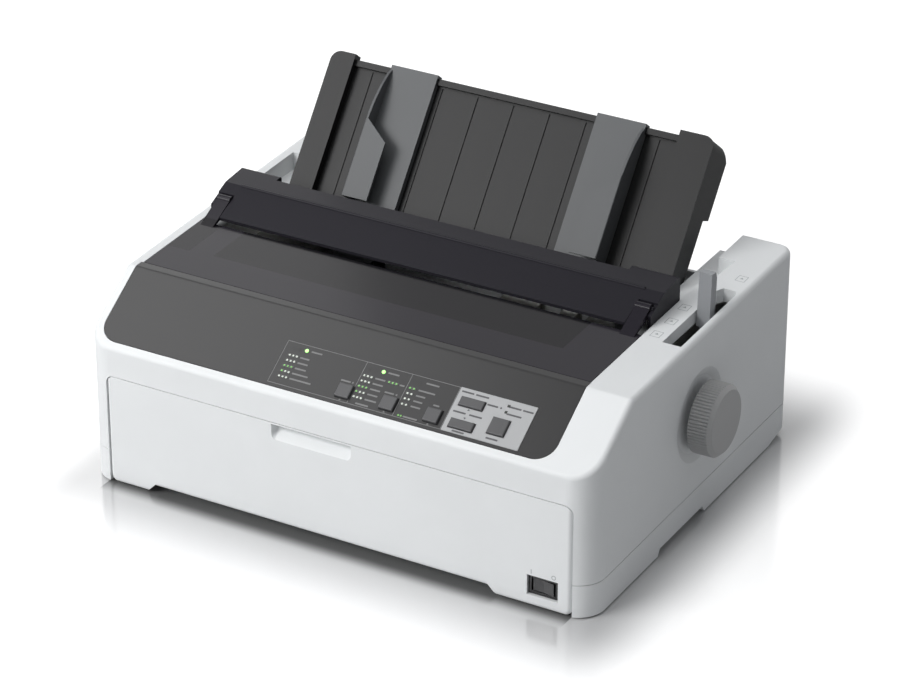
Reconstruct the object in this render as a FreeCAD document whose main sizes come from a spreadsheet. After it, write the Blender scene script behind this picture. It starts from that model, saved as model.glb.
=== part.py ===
import FreeCAD, Part
import math
import os
import Sketcher

# Desk dot matrix printer, modelled in millimetres: X right, Y back, Z up, standing on Z = 0.

# Every driving dimension, in millimetres, degrees or counts. Each becomes an aliased cell of the sheet.
SIZES = {
    # Overall case
    "case_width": 396.0,
    "case_depth": 301.9,
    "front_reach": 148.2,
    "case_wall": 2.8,
    "front_height": 106.4,
    "break_from_front": 55.5,
    "break_height": 142.2,
    "back_height": 146.7,
    "front_corner_radius": 20.0,
    "back_corner_radius": 11.0,
    "top_edge_radius": 4.0,
    "split_height": 25.6,
    "split_gap": 0.5,
    "play": 0.4,
    "overrun": 5.0,
    # Well that the printer cover lies in
    "well_left_margin": 9.3,
    "well_right_margin": 35.1,
    "well_front_from_break": 7.0,
    "well_back": 46.6,
    "well_height": 138.5,
    "well_floor": 3.0,
    "well_rim_front": 22.0,
    "well_rim_side": 13.0,
    "deck_height": 132.0,
    "deck_width": 16.0,
    "rear_right_margin": 39.4,
    "notch_front": 68.0,
    "notch_back": 112.0,
    "notch_depth": 12.6,
    "notch_middle": 82.4,
    "notch_lean": 2.0,
    "rear_wall_height": 108.0,
    "boss_radius": 5.0,
    "boss_high": 60.0,
    "boss_side": 8.8,
    "boss_front": 28.2,
    "boss_back": 12.2,
    "entry_low": 64.0,
    "entry_high": 78.0,
    "collar_low": 135.0,
    # Control panel on the front slope
    "panel_left_margin": 8.2,
    "panel_right_margin": 35.4,
    "panel_bottom": 6.2,
    "panel_thick": 2.4,
    "panel_corner_radius": 15.0,
    "panel_gap": 0.5,
    "panel_ledge": 1.2,
    "slope_wall": 5.4,
    "panel_window_left": 60.0,
    "panel_window_right": 144.0,
    "panel_window_top": 46.0,
    "engraved_left": 53.5,
    "engraved_line": 0.5,
    "engraved_deep": 0.25,
    "divider_one_x": 8.5,
    "divider_two_x": 43.5,
    # Buttons and lights
    "button_side": 10.8,
    "button_tall": 10.4,
    "wide_button": 18.0,
    "wide_button_tall": 6.9,
    "large_button": 12.8,
    "large_button_tall": 12.6,
    "button_stand": 1.6,
    "button_travel": 0.8,
    "button_gap": 0.35,
    "button_flange": 1.0,
    "button_flange_thick": 0.9,
    "button_stem_radius": 2.0,
    "button_round": 0.8,
    "button_one_x": 3.4,
    "button_two_x": 37.4,
    "button_three_x": 71.2,
    "button_row": 16.4,
    "wide_one_row": 32.2,
    "wide_two_row": 15.2,
    "wide_column": 93.6,
    "large_column": 118.6,
    "large_row": 21.0,
    "plate_left": 81.0,
    "plate_right": 138.4,
    "plate_bottom": 8.5,
    "plate_top": 42.2,
    "plate_thick": 0.5,
    "light_side": 1.9,
    "light_pitch_up": 4.22,
    "light_block_one_x": 44.35,
    "light_block_two_x": 14.1,
    "light_block_three_x": 48.1,
    "light_single_x": 33.25,
    "light_bar_long": 8.4,
    "light_short_bar": 5.8,
    "light_bar_tall": 2.3,
    "light_plate_pitch": 4.8,
    "light_block_up": 14.8,
    "light_state_up": 37.7,
    "light_state_one_x": 36.6,
    "light_state_two_x": 23.4,
    "switch_board_thick": 1.6,
    "switch_board_depth": 9.0,
    "tact_side": 6.0,
    "tact_high": 3.5,
    "light_deep": 0.6,
    "light_proud": 0.12,
    "light_play": 0.05,
    # Front cover
    "cover_left_margin": 17.7,
    "cover_right_margin": 15.0,
    "cover_top": 84.5,
    "cover_gap": 0.6,
    "cover_wall": 2.5,
    "cover_foot": 1.2,
    "cover_raise": 6.7,
    "cover_raise_left": 144.6,
    "cover_raise_right": 122.0,
    "cover_corner_radius": 6.0,
    "cover_low_corner_radius": 5.0,
    "cover_toe_radius": 3.0,
    "cover_rim": 2.0,
    "cover_rib_count": 8,
    "cover_flange": 7.0,
    "cover_rib_pitch": 43.0,
    "cover_rib_height": 3.0,
    "cover_rib_thick": 1.6,
    "hinge_height": 6.4,
    "hinge_inset": 4.8,
    "hinge_pin_radius": 2.0,
    "hinge_pin_length": 3.2,
    "hinge_play": 0.06,
    "scoop_left": 46.6,
    "scoop_right": 16.0,
    "scoop_drop": 12.6,
    "scoop_depth": 7.0,
    "scoop_wall": 1.8,
    "scoop_round": 3.5,
    "rocker_hole_left": 150.2,
    "rocker_hole_right": 173.4,
    "rocker_hole_low": 9.6,
    "rocker_hole_high": 24.8,
    "bezel_inset": 2.0,
    "bezel_wall": 2.0,
    "rocker_swing": 9.0,
    "rocker_half": 7.8,
    "rocker_pivot_deep": 5.8,
    "rocker_body": 4.4,
    "rocker_pin_radius": 1.2,
    "rocker_pin_long": 1.2,
    "rocker_play": 0.4,
    # Lower case
    "floor_height": 6.7,
    "floor_thick": 3.0,
    "skirt_height": 1.2,
    "skirt_raise": 6.0,
    "skirt_front_end": 54.0,
    "skirt_rear_start": 22.5,
    "skirt_rear_end": 122.0,
    "cheek_wall": 2.6,
    "bay_back": 131.5,
    "bay_wall": 2.8,
    "foot_radius": 8.0,
    "foot_height": 3.4,
    "foot_recess": 1.2,
    "foot_from_side": 32.0,
    "foot_from_front": 40.0,
    "foot_from_back": 40.0,
    "vent_pitch": 9.0,
    "vent_wide": 3.0,
    "vent_long": 46.0,
    "vent_count": 9,
    "vent_start": 30.0,
    "vent_low": 50.0,
    # Printer cover hump
    "ridge_y": 21.5,
    "ridge_z": 160.4,
    "hump_back_y": 44.2,
    "hump_back_z": 162.4,
    "hump_mid_back_y": 37.2,
    "hump_step_left": 156.0,
    "hump_step_right": 126.6,
    "hump_front_y": 20.3,
    "hump_seat": 0.3,
    "lip_y": 9.8,
    "lip_z": 147.9,
    "strip_left": 174.6,
    "strip_right": 148.0,
    "hump_wall": 2.2,
    "hump_edge_radius": 2.4,
    "ridge_bead_radius": 1.5,
    "cover_gap_side": 0.5,
    "knuckle_y": 7.0,
    "knuckle_z": 153.4,
    "knuckle_radius": 3.4,
    "knuckle_pin_radius": 1.6,
    "knuckle_play": 0.06,
    "end_wall": 2.6,
    "knuckle_gap": 0.4,
    "end_wall_low": 0.6,
    "cover_hinge_y": 42.0,
    "cover_hinge_rise": 3.0,
    "cover_hinge_radius": 1.8,
    "cover_hinge_long": 2.4,
    "hinge_wall": 0.9,
    "corner_share": 0.7,
    # Flat exit window
    "window_thick": 2.2,
    "window_back_y": 13.2,
    "window_rim": 4.0,
    "arm_thick": 2.4,
    "window_bevel": 1.0,
    "arm_reach": 16.0,
    # Paper guide
    "guide_lean": 38.0,
    "guide_low_y": 72.7,
    "guide_low_z": 134.0,
    "guide_left": 168.4,
    "guide_right": 141.0,
    "guide_long": 110.3,
    "guide_field_long": 107.0,
    "guide_band_left": 19.0,
    "guide_band_right": 27.4,
    "guide_thick": 2.4,
    "guide_band_stand": 3.4,
    "guide_field_back": 3.0,
    "guide_rail_tall": 4.5,
    "guide_drop": 11.0,
    "guide_flange": 2.4,
    "guide_deep_low": 19.0,
    "guide_deep_high": 28.0,
    "guide_step_up": 55.0,
    "guide_top_deep": 16.0,
    "guide_shoulder_up": 100.0,
    "guide_corner_radius": 8.0,
    "guide_groove": 1.2,
    "guide_groove_depth": 0.7,
    "guide_groove_pitch": 29.1,
    "guide_groove_first": 134.8,
    "guide_groove_low": 2.0,
    "guide_groove_high": 101.0,
    "guide_groove_count": 9,
    "guide_pivot_drop": 4.0,
    "guide_pivot_back": 10.0,
    "guide_pin_radius": 2.2,
    "guide_pin_left": 6.4,
    "guide_pin_right": 4.0,
    "guide_ear_thick": 3.6,
    "guide_ear_radius": 6.0,
    "left_edge_wide": 38.4,
    "right_edge_wide": 38.4,
    "edge_guide_thick": 1.8,
    "edge_guide_stand": 0.4,
    "edge_fence": 15.0,
    "edge_fence_thick": 1.8,
    "edge_fence_up": 66.0,
    "edge_lip": 21.0,
    "edge_lip_up": 50.0,
    "edge_low": 6.0,
    "edge_left_x": 119.0,
    "edge_right_x": 48.6,
    "edge_hook": 5.0,
    "edge_hook_thick": 1.6,
    # Platen and its knob
    "platen_y": 7.0,
    "platen_z": 82.7,
    "platen_radius": 17.0,
    "platen_left": 150.0,
    "platen_right": 145.0,
    "shaft_radius": 5.0,
    "shaft_play": 0.05,
    "knob_radius": 25.8,
    "knob_stand": 20.2,
    "knob_long": 17.0,
    "knob_wall": 2.4,
    "knob_chamfer": 3.2,
    "knob_flute_count": 68,
    "knob_flute_deep": 0.9,
    "knob_flute_half": 1.1,
    "knob_flute_above": 0.3,
    "knob_boss_radius": 9.0,
    "dish_radius": 34.0,
    "dish_floor_radius": 28.0,
    "dish_backing": 2.0,
    "dish_depth": 2.5,
    "knob_hole_radius": 11.5,
    # Frames
    "frame_thick": 1.6,
    "frame_left_x": 169.2,
    "frame_right_x": 164.6,
    "frame_front": 104.0,
    "frame_back": 138.0,
    "frame_back_high": 106.0,
    "frame_shoulder_y": 96.0,
    "frame_brow_y": 20.0,
    "frame_nose_y": 60.0,
    "frame_high": 119.0,
    "frame_front_high": 92.0,
    "base_left": 182.0,
    "base_right": 176.0,
    "base_front": 112.0,
    "base_flange": 12.0,
    "bush_outer": 8.0,
    "bush_flange": 10.0,
    "bush_flange_thick": 1.4,
    "chute_radius": 20.3,
    "chute_thick": 1.4,
    "chute_top": 104.0,
    "chute_wrap": 125.0,
    "base_thick": 1.6,
    "frame_low": 11.3,
    "base_back": 138.0,
    "chute_reach": 45.0,
    "tab_low": 50.0,
    "tab_high": 90.0,
    "tab_wide": 38.0,
    "stud_radius": 4.0,
    "journal_play": 0.05,
    # Carriage, head, belt
    "rod_y": 44.0,
    "rod_z": 50.0,
    "rod_radius": 6.0,
    "rail_front": 70.0,
    "rail_back": 58.0,
    "rail_top": 38.0,
    "carriage_low": 38.4,
    "carriage_high": 62.0,
    "carriage_front": 70.0,
    "carriage_back": 32.0,
    "carriage_x": 98.0,
    "carriage_wide": 58.0,
    "head_wide": 34.0,
    "head_fin_pitch": 4.0,
    "head_fin_count": 6,
    "head_nose_gap": 1.9,
    "nose_wide": 16.0,
    "nose_low": 78.0,
    "nose_high": 87.0,
    "nose_round": 2.0,
    "head_high": 90.0,
    "head_back": 30.0,
    "head_front": 62.0,
    "belt_slack": 0.35,
    "hub_radius": 3.0,
    "belt_y": 76.0,
    "belt_wide": 6.0,
    "belt_thick": 1.2,
    "pulley_radius": 8.0,
    "pulley_z": 72.0,
    "pulley_left_x": 150.0,
    "pulley_right_x": 150.0,
    "carriage_motor_radius": 18.0,
    "carriage_motor_deep": 30.0,
    "pulley_flange": 1.8,
    "pulley_flange_thick": 0.8,
    # Feed gears
    "gear_module": 1.0,
    "gear_thick": 6.0,
    "gear_layer_gap": 1.6,
    "gear_clear": 3.2,
    "gear_addendum": 0.95,
    "gear_dedendum": 1.25,
    "tooth_tip_share": 0.11,
    "tooth_root_share": 0.33,
    "gear_hub_radius": 6.6,
    "motor_shaft_radius": 2.5,
    "platen_teeth": 60,
    "small_teeth": 16,
    "large_teeth": 50,
    "pinion_teeth": 12,
    "idler_teeth": 48,
    "tractor_teeth": 57,
    "train_angle": 50.0,
    "pinion_angle": 20.0,
    "tractor_angle": 8.3,
    "feed_motor_radius": 21.0,
    "feed_motor_deep": 26.0,
    # Tractors
    "square_shaft": 7.0,
    "square_play": 0.08,
    "journal_radius": 4.0,
    "sprocket_radius": 15.4,
    "sprocket_pins": 8,
    "sprocket_pin_radius": 1.8,
    "sprocket_pin_stand": 3.0,
    "sprocket_wide": 8.0,
    "tractor_wide": 26.0,
    "tractor_front": 24.0,
    "tractor_back": 25.0,
    "tractor_low": 19.0,
    "tractor_wall": 2.2,
    "tractor_left_x": 128.0,
    "tractor_right_x": 104.0,
    "tractor_door_thick": 2.0,
    "support_radius": 3.0,
    "support_back": 20.0,
    "support_drop": 14.0,
    "tractor_high": 14.6,
    "tractor_slot": 4.8,
    "sprocket_hub_radius": 6.5,
    "door_gap": 1.0,
    "door_slot": 3.0,
    "door_hinge_out": 2.6,
    "door_hinge_radius": 1.9,
    "door_pin_radius": 1.1,
    # Ribbon
    "cartridge_left": 150.0,
    "cartridge_right": 146.0,
    "cartridge_front": 116.0,
    "cartridge_back": 68.0,
    "cartridge_low": 93.0,
    "cartridge_high": 106.0,
    "cartridge_round": 8.0,
    "ribbon_low": 76.2,
    "ribbon_high": 89.2,
    "ribbon_thick": 0.2,
    "ribbon_gap": 0.9,
    "ribbon_knob_radius": 9.0,
    "ribbon_knob_x": 130.0,
    "ribbon_knob_high": 7.0,
    "grip_share": 0.2,
    "end_share": 0.85,
    "arm_wide": 9.0,
    "cartridge_lug": 3.0,
    "cartridge_lug_long": 24.0,
    # Release lever
    "lever_slot_left": 179.0,
    "lever_slot_right": 193.0,
    "lever_slot_front": 15.0,
    "lever_slot_back": 73.0,
    "lever_slot_taper": 5.0,
    "lever_wide": 9.6,
    "lever_deep": 8.0,
    "lever_top": 173.7,
    "lever_pivot_y": 33.0,
    "lever_pivot_z": 60.0,
    "lever_lean": 3.5,
    "lever_hub_radius": 9.0,
    "lever_pin_radius": 4.0,
    "lever_shank": 5.0,
    "lever_left": 180.4,
    "lever_shank_high": 74.0,
    "lever_back_cut": 5.0,
    # Electrics
    "board_left": 96.0,
    "board_right": 140.0,
    "board_front": 56.0,
    "board_back": 52.0,
    "board_thick": 1.6,
    "board_stand": 6.0,
    "supply_left": 136.0,
    "supply_wide": 92.0,
    "supply_front": 66.0,
    "supply_deep": 66.0,
    "supply_high": 40.0,
    "inlet_x": 150.0,
    "inlet_wide": 27.0,
    "inlet_tall": 20.0,
    "inlet_z": 48.0,
    "inlet_deep": 16.0,
    "parallel_x": 70.0,
    "parallel_wide": 58.0,
    "parallel_tall": 16.0,
    "socket_z": 46.0,
    "usb_x": 24.0,
    "usb_side": 12.0,
    "serial_x": 16.0,
    "serial_wide": 31.0,
    "serial_tall": 12.5,
    "socket_deep": 14.0,
    "socket_wall": 1.2,
    "screw_head_radius": 3.4,
    "screw_head_high": 2.2,
    "screw_shank_radius": 1.5,
    "screw_long": 9.0,
    "chip_side": 24.0,
    "chip_high": 4.0,
    "capacitor_radius": 8.0,
    "capacitor_high": 18.0,
    "chip_x": 20.0,
}

doc = FreeCAD.newDocument("DotMatrixPrinter")
sheet = doc.addObject("Spreadsheet::Sheet", "Sizes")
for row, (alias, amount) in enumerate(SIZES.items(), start=1):
    sheet.set(f"A{row}", alias)
    sheet.set(f"B{row}", str(amount))
    sheet.setAlias(f"B{row}", alias)
doc.recompute()


class Size:
    """A length, angle or count: its value now, and the sheet expression that it comes from."""

    def __init__(self, value, text):
        self.value = float(value)
        self.text = text

    @staticmethod
    def of(thing):
        return thing if isinstance(thing, Size) else Size(thing, repr(thing))

    def joined(self, other, sign, value):
        return Size(value, f"({self.text} {sign} {other.text})")

    def __add__(self, other):
        other = Size.of(other)
        return self.joined(other, "+", self.value + other.value)

    def __sub__(self, other):
        other = Size.of(other)
        return self.joined(other, "-", self.value - other.value)

    def __mul__(self, other):
        other = Size.of(other)
        return self.joined(other, "*", self.value * other.value)

    def __truediv__(self, other):
        other = Size.of(other)
        return self.joined(other, "/", self.value / other.value)

    def __rsub__(self, other):
        return Size.of(other) - self

    def __neg__(self):
        return Size(-self.value, f"(0 - {self.text})")

    __radd__ = __add__
    __rmul__ = __mul__


class Sheet:
    """Reads the named cells of the sheet as Size values."""

    def __getattr__(self, alias):
        return Size(sheet.get(alias), f"Sizes.{alias}")


S = Sheet()
ZERO = Size(0, "0")


def sine(angle):
    return Size(math.sin(math.radians(angle.value)), f"sin({angle.text})")


def cosine(angle):
    return Size(math.cos(math.radians(angle.value)), f"cos({angle.text})")


def tangent(angle):
    return sine(angle) / cosine(angle)


def arc_tangent(rise, run):
    value = math.degrees(math.atan2(rise.value, run.value))
    return Size(value, f"(atan({rise.text} / {run.text}) / 1deg)")


# Places that many pieces share
case_left = -S.case_width / 2
case_right = S.case_width / 2
case_front = -S.front_reach
case_back = S.case_depth - S.front_reach
frame_shift = -S.knob_stand / 2
guide_rear = S.guide_low_y + S.guide_deep_high * cosine(S.guide_lean) + S.guide_shoulder_up * sine(S.guide_lean)
frame_back = -(case_front + guide_rear) / 2
break_y = case_front + S.break_from_front
slope_rise = S.break_height - S.front_height
slope_angle = arc_tangent(slope_rise, S.break_from_front)
top_rise = (S.back_height - S.break_height) / (case_back - break_y)
well_left = case_left + S.well_left_margin
well_right = case_right - S.well_right_margin
well_front = break_y + S.well_front_from_break
rear_right = case_right - S.rear_right_margin
shell_low = S.split_height + S.split_gap / 2


def top_height(y):
    """Height of the case's top skin at a depth behind the break."""
    return S.break_height + top_rise * (y - break_y)


def on_slope(up, out=ZERO):
    """Depth and height of a place up the front slope and out from its face."""
    y = case_front + up * cosine(slope_angle) - out * sine(slope_angle)
    z = S.front_height + up * sine(slope_angle) + out * cosine(slope_angle)
    return y, z


slope = (slope_angle, case_front, S.front_height)
panel_left = case_left + S.panel_left_margin
panel_right = case_right - S.panel_right_margin
bay_left = case_left + S.cover_left_margin - S.cover_gap
bay_right = case_right - S.cover_right_margin + S.cover_gap
bay_top = S.cover_top + S.cover_gap
bay_rear = -S.bay_back
front_hinge_y = case_front + S.hinge_inset
deck_low = S.deck_height - S.case_wall
notch_right = rear_right + S.notch_depth
cover_hinge_z = S.well_height + S.cover_hinge_rise
guide_pivot_y = S.guide_low_y + S.guide_pivot_back * cosine(S.guide_lean) - S.guide_pivot_drop * sine(S.guide_lean)
guide_pivot_z = S.guide_low_z - S.guide_pivot_back * sine(S.guide_lean) - S.guide_pivot_drop * cosine(S.guide_lean)
block_right = well_left + S.deck_width
boss_places = [
    (case_left + S.boss_side, case_front + S.boss_front),
    (case_right - S.boss_side, case_front + S.boss_front),
    (case_left + S.boss_side, case_back - S.boss_back),
    (case_right - S.boss_side, case_back - S.boss_back),
]


def rectangle(low_a, high_a, low_b, high_b):
    return [(low_a, low_b), (high_a, low_b), (high_a, high_b), (low_a, high_b)]


def regular(centre_a, centre_b, radius, sides):
    """Corners of a polygon of equal sides round a place."""
    turns = [2 * math.pi * side / sides for side in range(sides)]
    shares = [(round(math.cos(turn), 6), round(math.sin(turn), 6)) for turn in turns]
    return [(centre_a + radius * share_a, centre_b + radius * share_b) for share_a, share_b in shares]


def outside_corner(side_a, top_b, radius, inward):
    """What a rounded upper corner leaves out; inward is the sign of the way into the face."""
    corners = [(side_a - inward * S.overrun, top_b - radius)]
    for step in range(5):
        turn = math.pi / 2 * step / 4
        share_a = round(1 - math.cos(turn), 6)
        share_b = round(1 - math.sin(turn), 6)
        corners.append((side_a + inward * radius * share_a, top_b - radius * share_b))
    corners.append((side_a + inward * radius, top_b + S.overrun))
    corners.append((side_a - inward * S.overrun, top_b + S.overrun))
    return corners


PLANES = {"XY": "XY_Plane", "XZ": "XZ_Plane", "YZ": "YZ_Plane"}


class Piece:
    """One sub-part, a PartDesign body whose sketches and features are bound to the sheet."""

    def __init__(self, label, x=ZERO, y=ZERO, z=ZERO, tilt=None, is_tool=False):
        self.body = doc.addObject("PartDesign::Body", label)
        self.body.Label = label
        self.body.AllowCompound = True
        self.count = 0
        if is_tool:
            return
        if tilt is not None:
            turn = FreeCAD.Rotation(FreeCAD.Vector(1, 0, 0), tilt.value)
            self.body.Placement = FreeCAD.Placement(FreeCAD.Vector(), turn)
            self.body.setExpression("Placement.Rotation.Angle", tilt.text)
        for axis, place in zip("xyz", (frame_shift + x, frame_back + y, z)):
            self.body.setExpression(f"Placement.Base.{axis}", place.text)
        pieces.append(self.body)

    def feature(self, kind):
        self.count += 1
        return self.body.newObject(kind, f"{self.body.Name}_{kind.split('::')[1]}{self.count}")

    def finished(self, made, before=None):
        """Recomputes a feature and stops the build where it failed or, for a cut, where it took nothing."""
        doc.recompute()
        if made.Shape.isNull() or "Invalid" in made.State:
            raise ValueError(f"{made.Name} of {self.body.Label} failed: {made.State}")
        if before is not None and not made.Shape.Volume < before:
            raise ValueError(f"{made.Name} of {self.body.Label} cuts nothing")
        return made

    def sketch(self, plane, offset=ZERO, tilt=None):
        """A sketch parallel to an origin plane, moved along its normal or tilted about X."""
        made = self.feature("Sketcher::SketchObject")
        face = [f for f in self.body.Origin.OriginFeatures if f.Role == PLANES[plane]][0]
        made.AttachmentSupport = [(face, "")]
        made.MapMode = "FlatFace"
        if tilt is None:
            made.setExpression("AttachmentOffset.Base.z", offset.text)
            return made
        angle, start_y, start_z = tilt
        turn = FreeCAD.Rotation(FreeCAD.Vector(1, 0, 0), angle.value)
        made.AttachmentOffset = FreeCAD.Placement(FreeCAD.Vector(), turn)
        made.setExpression("AttachmentOffset.Rotation.Angle", angle.text)
        made.setExpression("AttachmentOffset.Base.y", (start_y - offset * sine(angle)).text)
        made.setExpression("AttachmentOffset.Base.z", (start_z + offset * cosine(angle)).text)
        return made

    @staticmethod
    def hold(made, kind, *places):
        """Adds a dimension whose last value is a Size and binds it to the sheet."""
        index = made.addConstraint(Sketcher.Constraint(kind, *places[:-1], places[-1].value))
        made.setExpression(f"Constraints[{index}]", places[-1].text)

    def outline(self, made, points):
        """A closed polygon with every corner held from the sketch's origin."""
        corners = [FreeCAD.Vector(a.value, b.value, 0) for a, b in points]
        lines = []
        for start, end in zip(corners, corners[1:] + corners[:1]):
            lines.append(made.addGeometry(Part.LineSegment(start, end), False))
        for line, following in zip(lines, lines[1:] + lines[:1]):
            made.addConstraint(Sketcher.Constraint("Coincident", line, 2, following, 1))
        for line, (a, b) in zip(lines, points):
            self.hold(made, "DistanceX", -1, 1, line, 1, a)
            self.hold(made, "DistanceY", -1, 1, line, 1, b)

    def disc(self, made, centre_a, centre_b, radius):
        middle = FreeCAD.Vector(centre_a.value, centre_b.value, 0)
        ring = made.addGeometry(Part.Circle(middle, FreeCAD.Vector(0, 0, 1), radius.value), False)
        self.hold(made, "Radius", ring, radius)
        self.hold(made, "DistanceX", -1, 1, ring, 3, centre_a)
        self.hold(made, "DistanceY", -1, 1, ring, 3, centre_b)

    def draw(self, plane, offset, loops, tilt=None):
        """A sketch of closed loops: polygons are lists of corners, discs are (a, b, radius)."""
        made = self.sketch(plane, offset, tilt)
        for loop in loops:
            if isinstance(loop, tuple):
                self.disc(made, *loop)
            else:
                self.outline(made, loop)
        return made

    def pad(self, plane, low, high, *loops, tilt=None):
        """Adds a prism between two places along the plane's axis."""
        start = -high if plane == "XZ" else low
        made = self.feature("PartDesign::Pad")
        made.Profile = self.draw(plane, start, loops, tilt)
        made.setExpression("Length", (high - low).text)
        return self.finished(made)

    def cut(self, plane, low, high, *loops, tilt=None, taper=None):
        """Removes a prism between two places along the plane's axis."""
        start = -low if plane == "XZ" else high
        before = self.body.Shape.Volume
        made = self.feature("PartDesign::Pocket")
        made.Profile = self.draw(plane, start, loops, tilt)
        made.setExpression("Length", (high - low).text)
        if taper is not None:
            made.setExpression("TaperAngle", taper.text)
        return self.finished(made, before)

    def turned(self, outline):
        """Adds a solid of revolution about the body's X axis from an outline of (x, radius)."""
        made = self.feature("PartDesign::Revolution")
        made.Profile = self.draw("XY", ZERO, [outline])
        made.ReferenceAxis = (made.Profile[0], ["H_Axis"])
        made.Angle = 360
        return self.finished(made)

    def grooved(self, outline):
        """Removes a solid of revolution about the body's X axis."""
        made = self.feature("PartDesign::Groove")
        made.Profile = self.draw("XY", ZERO, [outline])
        made.ReferenceAxis = (made.Profile[0], ["H_Axis"])
        made.Angle = 360
        return self.finished(made)

    def edges_near(self, spots):
        """Names of the edges nearest to the given places, each named once."""
        names = []
        for spot in spots:
            point = Part.Vertex(*(Size.of(part).value for part in spot))
            gaps = [edge.distToShape(point)[0] for edge in self.body.Tip.Shape.Edges]
            name = f"Edge{gaps.index(min(gaps)) + 1}"
            if name not in names:
                names.append(name)
        return names

    def round(self, radius, *spots):
        names = self.edges_near(spots)
        base = self.body.Tip
        made = self.feature("PartDesign::Fillet")
        made.Base = (base, names)
        made.setExpression("Radius", radius.text)
        return self.finished(made)

    def bevel(self, size, *spots):
        names = self.edges_near(spots)
        base = self.body.Tip
        made = self.feature("PartDesign::Chamfer")
        made.Base = (base, names)
        made.setExpression("Size", size.text)
        return self.finished(made)

    def subtract(self, tool):
        """Cuts this body by another body drawn in the same coordinates."""
        before = self.body.Shape.Volume
        made = self.feature("PartDesign::Boolean")
        made.Type = "Cut"
        made.setObjects([tool.body])
        return self.finished(made, before)

    def repeat(self, features, axis, length, count):
        """Repeats features in a straight row along one of the body's axes."""
        made = self.feature("PartDesign::LinearPattern")
        made.Originals = features
        line = [f for f in self.body.Origin.OriginFeatures if f.Role == f"{axis}_Axis"][0]
        made.Direction = (line, [""])
        made.setExpression("Length", length.text)
        made.setExpression("Occurrences", count.text)
        self.body.Tip = made
        return self.finished(made)

    def repeat_round(self, features, count):
        """Repeats features round the body's X axis."""
        made = self.feature("PartDesign::PolarPattern")
        made.Originals = features
        line = [f for f in self.body.Origin.OriginFeatures if f.Role == "X_Axis"][0]
        made.Axis = (line, [""])
        made.Angle = 360
        made.setExpression("Occurrences", count.text)
        self.body.Tip = made
        return self.finished(made)


pieces = []


def case_cavity():
    """The space inside the upper case, its walls one wall thickness inside the outer faces."""
    cavity = Piece("upper_case_cavity", is_tool=True)
    wall = S.case_wall
    drop = S.slope_wall / cosine(slope_angle)
    steep = tangent(slope_angle)
    inner_front = case_front + wall
    inner_back = case_back - wall
    bend = break_y + (drop - wall) / (steep - top_rise)
    cavity.pad("YZ", case_left + wall, case_right - wall, [
        (inner_front, shell_low - S.overrun),
        (inner_back, shell_low - S.overrun),
        (inner_back, top_height(inner_back) - wall),
        (bend, top_height(bend) - wall),
        (inner_front, S.front_height + steep * wall - drop),
    ])
    middle = S.front_height / 2
    cavity.round(
        S.front_corner_radius - wall,
        (case_left + wall, inner_front, middle),
        (case_right - wall, inner_front, middle),
    )
    cavity.round(
        S.back_corner_radius - wall,
        (case_left + wall, inner_back, middle),
        (case_right - wall, inner_back, middle),
    )
    return cavity


def panel_band(piece, left, right, bottom, deep, above):
    """Pads a sheet that lies on the front slope and bends over its top edge as far as the well."""
    bend = break_y + (deep / cosine(slope_angle) - deep) / (tangent(slope_angle) - top_rise)
    piece.pad("YZ", left, right, [
        on_slope(bottom, -deep),
        on_slope(bottom, above),
        (break_y, S.break_height + above / cosine(slope_angle)),
        (well_front, top_height(well_front) + above),
        (well_front, top_height(well_front) - deep),
        (bend, top_height(bend) - deep),
    ])


def panel_recess():
    recess = Piece("panel_recess", is_tool=True)
    gap = S.panel_gap
    bottom = S.panel_bottom - gap
    panel_band(recess, panel_left - gap, panel_right + gap, bottom, S.panel_thick, S.overrun)
    corner = on_slope(bottom, -S.panel_thick / 2)
    recess.round(S.panel_corner_radius, (panel_left - gap, *corner), (panel_right + gap, *corner))
    return recess


def sink_well(shell):
    """Thickens the top skin and sinks the wells of the printer cover and of the paper guide."""
    wall = S.case_wall
    skin = wall / 2
    left = well_left - wall
    floor_low = S.well_height - S.well_floor
    shell.pad("YZ", left, well_right + wall, [
        (well_front - wall, floor_low),
        (S.well_back - wall, floor_low),
        (S.well_back - wall, deck_low),
        (S.well_back + wall, deck_low),
        (S.well_back + wall, top_height(S.well_back) - skin),
        (well_front - wall, top_height(well_front) - skin),
    ])
    rear = case_back - skin
    shell.pad("YZ", left, notch_right + wall, [
        (S.well_back, deck_low),
        (rear, deck_low),
        (rear, top_height(rear) - skin),
        (S.well_back, top_height(S.well_back) - skin),
    ])
    above = S.back_height + S.overrun
    shell.cut("YZ", well_left, well_right, [
        (well_front, S.well_height),
        (S.well_back, S.well_height),
        (S.well_back, above),
        (well_front, above),
    ])
    shell.cut("XY", S.deck_height, above, [
        (well_left, S.well_back),
        (well_right, S.well_back),
        (well_right, S.notch_front),
        (notch_right - S.notch_lean, S.notch_middle),
        (notch_right, S.notch_back),
        (rear_right, S.notch_back),
        (rear_right, case_back - wall),
        (block_right, case_back - wall),
        (block_right, S.notch_back),
        (well_left, S.notch_back),
    ])
    rim = S.well_rim_side
    shell.cut("XY", deck_low - S.overrun, above, rectangle(
        well_left + rim, well_right - rim, well_front + S.well_rim_front, S.well_back + wall))
    shell.cut("XY", deck_low - S.overrun, above, rectangle(
        well_left + S.deck_width, rear_right - S.deck_width, S.well_back, case_back - wall))
    shell.cut("XZ", case_back - wall * 2, case_back + S.overrun, rectangle(
        block_right, rear_right, S.rear_wall_height, above))
    hinge = (S.cover_hinge_y, cover_hinge_z, S.cover_hinge_radius + S.hinge_play)
    shell.cut("YZ", left, well_left + skin, hinge)
    shell.cut("YZ", well_right - skin, well_right + wall, hinge)


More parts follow.
